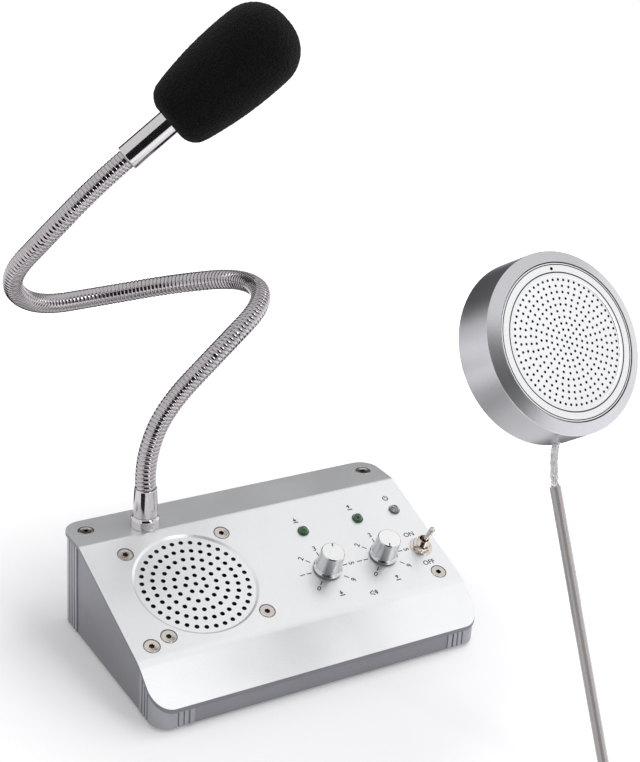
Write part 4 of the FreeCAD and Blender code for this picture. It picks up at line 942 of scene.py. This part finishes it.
RIGHT_BEND, RIGHT_WAY = Vector((21.75, 68.5, 157.25)), Vector((0.2, 0.976, -0.083)) * 22
LEFT_BEND, LEFT_WAY = Vector((-84.75, 121.25, 149.5)), Vector((-0.573, -0.549, 0.61)) * 20
CUTS = [0, turn_at((-28, 39, 126)), turn_at((-16, 126, 142)), turn_at((-80, 88, 194)), TURNS]
STRETCHES = [("hose_foot_stretch", "desk_unit", "neck_rise", HOSE_START, HOSE_START + UP * 30, "hose_rise"),
             ("hose_right_stretch", "neck_rise", "neck_back", RIGHT_BEND - RIGHT_WAY, RIGHT_BEND + RIGHT_WAY,
              "hose_back"),
             ("hose_left_stretch", "neck_back", "neck_upper", LEFT_BEND - LEFT_WAY, LEFT_BEND + LEFT_WAY,
              "hose_upper"),
             ("hose_head_stretch", "neck_upper", "microphone", HEAD - MIC_AXIS * 28, HEAD, None)]
guide = nurbs("guide", HOSE_POINTS, 0.0, HOSE_STEPS)
for i, (name, before, after, start, end, node) in enumerate(STRETCHES):
    hose = hose_stretch(name, CUTS[i], CUTS[i + 1], guide)
    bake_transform(hose)
    if node:
        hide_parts(node)
    print(name, "faces", len(hose.data.polygons))
bpy.data.objects.remove(guide)

# %% [markdown]
# ## Microphone
# The hose ends in a chromed tube that holds the capsule, and a foam windscreen is pulled over the tube. Open
# foam has no edges and no shine: it is turned as a smooth closed shape with its bore, divided finely and
# roughened inwards with a cloud texture, and its material adds the cells, which are under a millimetre wide.

# %% Collar
collar = spun("mic_tube", [(3.0, 0), (5.9, 0), (6.3, 0.2), (6.5, 0.6), (6.5, 48), (5.7, 48), (5.7, 4),
    (3.0, 4), (3.0, 0)], 96)
fit(collar, chrome, on_mic(), "microphone", "neck_chrome", "mic_collar")

# %% Foam
CELL_MM, FOAM_CLOUD_MM = 0.75, 9.0
BORE_R, BORE_DEPTH, FOAM_LEN = 6.8, 32, 74.2
FOAM_AT = 26.0                # the foam's rear edge, along the microphone from the collar's foot


def foam_outline():
    """From the bottom of the bore out, round the rear edge, along the bulging side and over the dome."""
    floor = [(BORE_R * k / 6, BORE_DEPTH) for k in range(6)]
    bore = [(BORE_R, BORE_DEPTH * (1 - k / 20)) for k in range(21)]
    rear = arc(10.0, -90, -12.05, 9, 7.8, 10.0)[:-1]
    side = arc(187.3, -12.05, 2.79, 38, -165.6, 47.0)[:-1]
    dome = arc(19.0, 2.79, 90, 26, 2.5, 55.2)[:-1]
    return floor + bore + rear + side + dome + [(2.5, FOAM_LEN), (0, FOAM_LEN)]


def open_cell_foam():
    """Cells as small pits, drawn darker where they are deepest as painted shade, over broad soft clouds: black
    with no shine at all.
    """
    material, tree, shader, where = new_material("open_cell_black_foam")
    cells = add(tree, "TexVoronoi", {"Vector": where, "Scale": 1000 / CELL_MM}, feature="F1")
    clouds = add(tree, "TexNoise", {"Vector": where, "Scale": 1000 / FOAM_CLOUD_MM, "Detail": 3.0})
    both = add(tree, "Math", {0: clouds, 1: 0.5, 2: cells.outputs["Distance"]}, operation="MULTIPLY_ADD")
    lift = add(tree, "Bump", {"Height": cells.outputs["Distance"], "Strength": 0.8, "Distance": 0.0004},
               invert=True)
    # Darker where the cells' bump is lowest: painted shade in the pits.
    feed(tree, shader, {"Base Color": ramp(tree, both, [(0.25, "#19191B"), (0.95, "#060607")]),
        "Normal": lift, "Roughness": 0.95, "Specular IOR Level": 0.15, "Sheen Weight": 0.05})
    return material


def roughened(piece, cloud_size, depth):
    """Pushes a fine surface in, here more and there less."""
    clouds = bpy.data.textures.new("clouds", "CLOUDS")
    clouds.noise_scale = cloud_size
    return modify(piece, "DISPLACE", texture=clouds, texture_coords="LOCAL", strength=depth, mid_level=1.0)


foam = coloured(spun("foam_cover", foam_outline(), 120), open_cell_foam())
modify(foam, "SUBSURF", levels=1, render_levels=1)
roughened(foam, 1.3, 0.55)
bpy.ops.object.shade_smooth()
set_in_place(moved(foam, on_mic(FOAM_AT)), "windscreen", "foam_black", "foam_windscreen")

# %% [markdown]
# ## Round outer unit
# The can is spun aluminium with a broad chamfer. The ring in its mouth is polished, with a fine groove and a
# pinhole for the microphone, and its thin lip lies over the rim of the disc. The disc behind it is
# perforated in rings. The disc's own solid is right as it is, so it stays and gets its finish; the can and
# the ring are turned again with their small edges.

# %% Can
can_silver = grainy("satin_anodised_spun_aluminium", "#BCBCC0", "#CBCBCF", 0.95, 0.31, 0.5, bump=0.04,
    spread=0.03)
can = spun("round_can", [(0, -20), (39.6, -20), (40.1, -20), (40.45, -19.85), (40.6, -19.5), (40.58, -18.9),
    (40.02, -0.9), (40.0, -0.35), (39.93, -0.1), (39.75, 0.12), (39.4, 0.276), (35.2, 2.144), (34.85, 2.3),
    (34.7, 2.35), (34.6, 2.2), (34.6, -1.5), (38.5, -3.5), (38.5, -18.5), (0, -18.5)], 160)
fit(can, can_silver, ON_CAN, "outer_unit", "can_aluminium", "outer_can")

# %% Trim ring
PINHOLE_R, PINHOLE_AT, PINHOLE_ANGLE = 0.75, 31.7, math.radians(87)
ring_bright = grainy("polished_aluminium_trim", "#E8E8EA", "#F4F4F5", 1.0, 0.2, 0.6, bump=0.02, spread=0.03)
trim_ring = spun("polished_trim_ring", [(34.38, -5.2), (34.38, 1.7), (34.2, 2.02), (34.1, 2.1), (33.72, 2.1),
    (33.68, 1.7), (33.3, 1.7), (33.26, 2.1), (30.35, 2.1), (30.3, 1.7), (29.9, 1.7), (29.86, 2.0),
    (29.76, 2.1), (28.75, 2.1), (28.4, 2.02), (28.2, 1.85), (28.15, 1.66), (28.5, 1.64), (28.5, 0.8),
    (33.2, 0.8), (33.2, -5.2), (34.38, -5.2)], 160)
coloured(trim_ring, ring_bright)
# The floors of the two grooves get the dark grey of painted shade.
trim_ring.data.materials.append(sink_painted_shade)
for face in trim_ring.data.polygons:
    if 1.65 < face.center.z < 2.0 and 29.85 < face.center.xy.length < 33.75:
        face.material_index = 1
pinhole = pin(PINHOLE_R, 0, 4, PINHOLE_AT * math.cos(PINHOLE_ANGLE), PINHOLE_AT * math.sin(PINHOLE_ANGLE))
cut(trim_ring, coloured(pinhole, hole_black))
soften(trim_ring, flats=[UP])
set_in_place(moved(trim_ring, ON_CAN), "outer_unit", "trim_aluminium", "outer_trim_ring")

# %% [markdown]
# ## Clear sleeve and plug
# Where the cord leaves the round unit, a short clear sleeve of soft PVC is shrunk over its bare cores. Its
# wall is crinkled, so it is a smooth tube whose surface is pushed in a little by a cloud texture, round
# three thin cores. The cord ends in a moulded 3.5 mm plug, whose tip has its rings.

# %% Sleeve
SLEEVE_POINTS = [(63.48, -122.6, 147.1), (64.4, -121.4, 136.0), SLEEVE_END]
SLEEVE_R, CORE_R, CORE_TURN_R = 2.1, 0.4, 0.75


def clear_vinyl():
    """Folds in soft clear plastic bend the light more than its own thickness does."""
    material, tree, shader, where = new_material("clear_shrunk_pvc")
    folds = add(tree, "TexNoise", {"Vector": where, "Scale": 620.0, "Detail": 2.0, "Distortion": 1.2})
    lift = add(tree, "Bump", {"Height": folds, "Strength": 0.9, "Distance": 0.0012})
    feed(tree, shader, {"Base Color": ramp(tree, folds, [(0.35, "#EDEEF0"), (0.65, "#FFFFFF")]),
        "Normal": lift, "Roughness": 0.05, "IOR": 1.38, "Transmission Weight": 0.9})
    return material


def sleeve_wall():
    wall = roughened(as_mesh(nurbs("clear_sleeve", SLEEVE_POINTS, SLEEVE_R, 24, 6)), 0.0021, 0.0007)
    edit(wall)
    tidy_shell(0.000001)
    bpy.ops.object.shade_smooth()
    return coloured(wall, clear_vinyl())


def twisted_cores():
    """Three thin cores, twisted one turn inside the sleeve."""
    line = line_of(SLEEVE_POINTS, 10)[0][::2]
    strands = []
    for k in range(3):
        turns = [math.radians(120 * k + 36 * i) for i in range(len(line))]
        points = [at + Vector((math.cos(a), math.sin(a), 0)) * CORE_TURN_R for at, a in zip(line, turns)]
        strands.append(as_mesh(nurbs(f"core_{k}", points, CORE_R, 6, 3)))
    return joined("sleeve_cores", strands)


white_cores = grainy("white_pvc_core_insulation", "#E4E4E6", "#F2F2F3", 0.0, 0.35, 0.6, bump=0.1)
sleeve = sleeve_wall()
inner_cores = coloured(twisted_cores(), white_cores)
for piece in (sleeve, inner_cores):
    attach(piece, "outer_unit")
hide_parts("cord_sleeve")

# %% Plug
plug_black = grainy("moulded_black_pvc_plug", "#151516", "#232325", 0.0, 0.45, 0.5, bump=0.2)
plug_nickel = grainy("nickel_plated_plug_pin", "#C9C5BC", "#DDD9D0", 1.0, 0.18, 0.4, bump=0.03)
RIB_PITCH, RIB_GROWTH = 1.4, 0.07
ribs = []
FIRST_RIB = [(2.85, 1.0), (2.85, 1.6), (2.62, 1.75), (2.62, 2.25)]
for k in range(5):
    ribs += [(r + RIB_GROWTH * k, z + RIB_PITCH * k) for r, z in FIRST_RIB]
plug_body = spun("moulded_plug_body", [(0, 0), (2.8, 0), *ribs, (3.2, 8.0), (3.5, 8.3), (3.9, 8.9),
    (4.0, 9.6), (4.0, 27.2), (3.85, 27.8), (3.4, 28), (0, 28)], 64)
plug_pin = spun("plug_contact_pin", [(0, 28), (1.75, 28), (1.75, 32.6), (1.62, 32.7), (1.62, 33.3),
    (1.75, 33.4), (1.75, 36.2), (1.62, 36.3), (1.62, 36.9), (1.75, 37.0), (1.75, 38.4), (1.3, 39.3),
    (1.65, 40.4), (0.5, 41.9), (0, 42)], 40)
fit(plug_body, plug_black, ON_PLUG, "outer_unit", "plug_black", "plug_body")
fit(plug_pin, plug_nickel, ON_PLUG, "outer_unit", "plug_nickel", "plug_pin")
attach(cord, "outer_unit")
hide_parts("cord_tube", "cord_coil", "cord_end")

# %% [markdown]
# ## Solids that stay
# The pieces inside the housing, the flat walls and the perforated disc keep their solids. Each still gets
# the finish of its real material, because the object may be opened, turned over or lit from behind; the
# walls' dark grey and the near black of the disc's hole walls are painted shade.

# %% Finishes of the solids that stay
STAYING = [
    (["base_screws", "speaker_nuts"], "bright_zinc_plated_steel", "#A6A8A8", "#BFC1C0", 1.0, 0.3, 0.6),
    (["base_plate"], "black_powder_coated_steel", "#17171A", "#26262A", 0.1, 0.5, 0.5),
    (["base_pad"], "moulded_black_rubber", "#121213", "#1D1D1F", 0.0, 0.85, 0.5),
    (["panel_brackets"], "mill_finish_aluminium", "#9FA0A4", "#B6B7BB", 1.0, 0.35, 0.6),
    (["desk_speaker_frame", "outer_speaker_frame"], "black_electro_coated_steel", "#101011", "#1B1B1D", 0.2,
     0.45, 0.6),
    (["desk_speaker_cone", "outer_speaker_cone"], "pressed_paper_pulp", "#0C0C0D", "#1A1A1B", 0.0, 0.9, 0.7),
    (["desk_speaker_magnet", "outer_speaker_magnet"], "ground_ferrite", "#232325", "#333336", 0.3, 0.55, 0.5),
    (["volume_pots"], "passivated_steel_housing", "#8B8C8E", "#A9AAAC", 0.9, 0.35, 0.6),
    (["pot_nuts", "neck_lock_nut"], "nickel_plated_nut", "#B6B2A9", "#CFCBC2", 1.0, 0.28, 0.5),
    (["internal_pot_shaft", "external_pot_shaft"], "ground_steel_shaft", "#97989A", "#B4B5B7", 1.0, 0.25, 0.5),
    (["toggle_body"], "moulded_blue_phenolic", "#2A4C92", "#3558A2", 0.0, 0.4, 0.6),
    (["board_standoffs"], "moulded_nylon", "#D6D3C8", "#E7E4DA", 0.0, 0.45, 0.6),
    (["amplifier_heat_sink"], "black_anodised_extrusion", "#131315", "#202023", 0.6, 0.4, 0.5),
    (["line_jack", "dc_jack"], "moulded_black_abs", "#131314", "#212123", 0.0, 0.4, 0.5),
    (["mic_capsule", "outer_mic_capsule"], "drawn_aluminium_capsule", "#A9AAAD", "#C2C3C6", 1.0, 0.3, 0.5),
    (["outer_stick_pad"], "closed_cell_adhesive_foam", "#2B2B2D", "#3C3C3F", 0.0, 0.9, 0.8),
]
BOARD_BLOCK_MM, TRACKS_PER_BLOCK = 5.0, 9.0


def dress(nodes, material):
    for node in nodes:
        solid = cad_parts[node]
        if not solid.material_slots:
            solid.data.materials.append(material)
        for slot in solid.material_slots:
            slot.material = material
    print(material.name, "on", *nodes)


def green_board():
    """Green solder mask over copper tracks that run at right angles, half a millimetre wide."""
    material, tree, shader, where = new_material("solder_masked_circuit_board")
    blocks = add(tree, "TexVoronoi", {"Vector": where, "Scale": 1000 / BOARD_BLOCK_MM}, distance="CHEBYCHEV",
        feature="F1")
    tracks = add(tree, "Math", {0: blocks.outputs["Distance"], 1: TRACKS_PER_BLOCK}, operation="MULTIPLY")
    tracks = add(tree, "Math", {0: tracks}, operation="FRACT")
    feed(tree, shader, {"Base Color": ramp(tree, tracks, [(0.45, "#0C3B1E"), (0.55, "#17552D")]),
        "Roughness": 0.35})
    return material


def punched_sheet():
    """Lacquer lies on the disc's two faces; the walls of its holes are drawn near black, which is painted
    shade.
    """
    material = grainy("silver_lacquered_perforated_aluminium", "#E4E4E6", "#F2F2F3", 0.6, 0.45, 0.5,
        bump=0.05)
    tree = material.node_tree
    shader = tree.nodes["Principled BSDF"]
    lacquer = shader.inputs["Base Color"].links[0].from_socket
    normal = add(tree, "TexCoord").outputs["Normal"]
    way = add(tree, "VectorMath", {0: normal, 1: CAN_AXIS}, operation="DOT_PRODUCT")
    face = add(tree, "Math", {0: way.outputs["Value"]}, operation="ABSOLUTE")
    on_face = add(tree, "MapRange", {0: face, 1: 0.5, 2: 0.8})
    # Near black on the hole walls: painted shade.
    feed(tree, shader, {"Base Color": add(tree, "MixRGB", {0: on_face, 1: linear("#18181A"), 2: lacquer})})
    return material


for nodes, *finish in STAYING:
    dress(nodes, grainy(*finish))
dress(["main_board"], green_board())
# The walls take the dark grey of painted shade.
dress(["front_wall", "rear_wall", "left_wall", "right_wall"], wall_silver_painted_shade)
dress(["outer_grille"], punched_sheet())

# %% [markdown]
# ## Stage and light
# A studio shot of a small silver product is lit by big soft lamps over a white counter. The counter here is
# white where the camera, a mirror or glass looks at it, and keeps the object's shadow; near the unit its own
# glow is turned down, which paints a broad shade round it. Bright metal shows what stands round it, so dark
# cards stand out of view, as a photographer sets them, to draw its dark edges. Three more dark sheets lie on
# the counter where only mirrors see them: painted shade of the counter under the unit.

# %% Counter
NEAR, FAR = 0.12, 0.3         # metres from the unit's middle, between which the counter's own glow grows
# The counter's glow is lower near the unit: a painted shade round it.
NEAR_GLOW_PAINTED_SHADE, FAR_GLOW = 0.22, 0.7


def seen_directly(tree):
    """1 where the camera, a mirror or glass looks, and 0 for the light that falls on things."""
    path = add(tree, "LightPath").outputs
    seen = add(tree, "Math", {0: path["Is Camera Ray"], 1: path["Is Glossy Ray"]}, operation="MAXIMUM")
    return add(tree, "Math", {0: seen, 1: path["Is Transmission Ray"]}, operation="MAXIMUM")


def card_or_floor(name, material, size=1, at=(0, 0, 0)):
    bench()
    bpy.ops.mesh.primitive_plane_add(size=size, location=at)
    card = coloured(bpy.context.active_object, material)
    card.name = name
    return card


def counter_white():
    material, tree, shader, where = new_material("white_matt_counter")
    grain = add(tree, "TexNoise", {"Vector": where, "Scale": 700.0})
    away = add(tree, "VectorMath", {0: where}, operation="LENGTH").outputs["Value"]
    # Less glow near the unit: painted shade on the counter.
    share = add(tree, "MapRange", {0: away, 1: NEAR, 2: FAR, 3: NEAR_GLOW_PAINTED_SHADE, 4: FAR_GLOW})
    glow = add(tree, "Math", {0: seen_directly(tree), 1: share}, operation="MULTIPLY")
    feed(tree, shader, {"Base Color": ramp(tree, grain, [(LOW, "#F1F1F3"), (HIGH, "#F5F5F7")]),
        "Roughness": 1.0, "Specular IOR Level": 0.0, "Emission Color": (1, 1, 1, 1),
        "Emission Strength": glow})
    return material


floor = card_or_floor("counter", counter_white(), 6, (0, 0, -0.0003))
moved(floor, floor.matrix_world.copy())


# %% World, lamps and cards
WORLD_LIGHT = 0.45            # the white world's strength as a light; where it is seen, it is 1
DARK_FELT = "#1C1C1E"


def white_world():
    world = bpy.data.worlds.new("studio")
    world.use_nodes = True
    tree = world.node_tree
    tree.nodes.clear()
    power = add(tree, "MapRange", {0: seen_directly(tree), 3: WORLD_LIGHT, 4: 1.0})
    add(tree, "OutputWorld", {"Surface": add(tree, "Background", {"Color": (1, 1, 1, 1), "Strength": power})})
    world.cycles.sampling_method = "NONE"
    bpy.context.scene.world = world


def aimed(at, aim, axis):
    """A place whose given axis points from one spot to another."""
    way = (Vector(aim) - Vector(at)).normalized()
    return Matrix.Translation(at) @ way.to_track_quat(axis, "Y").to_matrix().to_4x4()


def soft_lamp(name, at, aim, size, power, mirrored=True):
    data = bpy.data.lights.new(name, "AREA")
    preset(data, shape="RECTANGLE", size=size[0], size_y=size[1], energy=power)
    preset(new_object(name, data), matrix_world=aimed(at, aim, "-Z"), visible_glossy=mirrored)
    print(name, "W", power)


def dark_card(name, at, aim, size, grey=DARK_FELT):
    """A card that only mirrors see."""
    card = card_or_floor(name, grainy(name + "_felt", grey, grey, 0.0, 1.0, 2.0))
    moved(card, aimed(at, aim, "Z") @ Matrix.Diagonal((*size, 1, 1)))
    preset(card, visible_camera=False, visible_diffuse=False, visible_shadow=False,
           visible_transmission=False)


white_world()
soft_lamp("top_lamp", (0.55, -0.15, 1.1), (0, 0, 0.06), (0.9, 0.9), 6.5, mirrored=False)
soft_lamp("key_lamp", (0.35, -0.9, 1.0), (0, 0, 0.06), (0.3, 0.3), 1.8)
soft_lamp("side_lamp", (1.45, 0.0, 0.35), (0.07, -0.1, 0.19), (0.7, 0.8), 0.6)
soft_lamp("strip_lamp", (0.5, -1.2, 0.6), (0, 0, 0.1), (0.08, 0.9), 0.5)
dark_card("rear_card", (0.5, 1.2, 0.42), (0, 0, 0.15), (2.6, 0.95), "#47474A")
dark_card("front_card", (-0.45, -1.15, 0.6), (0, 0, 0.15), (1.5, 1.5))
# Three dark sheets on the counter that only mirrors see: painted shade of the counter, seen in the can and the
# metal.
for name, x, y, size in (("low_painted_shade_card", 0.22, 0.03, (0.2, 0.18)), ("foot_painted_shade_card", -0.2, -0.07, (0.14, 0.12)),
                         ("back_painted_shade_card", -0.08, 0.27, (0.4, 0.22))):
    dark_card(name, (x, y, 0.004), (x, y, 1.0), size)
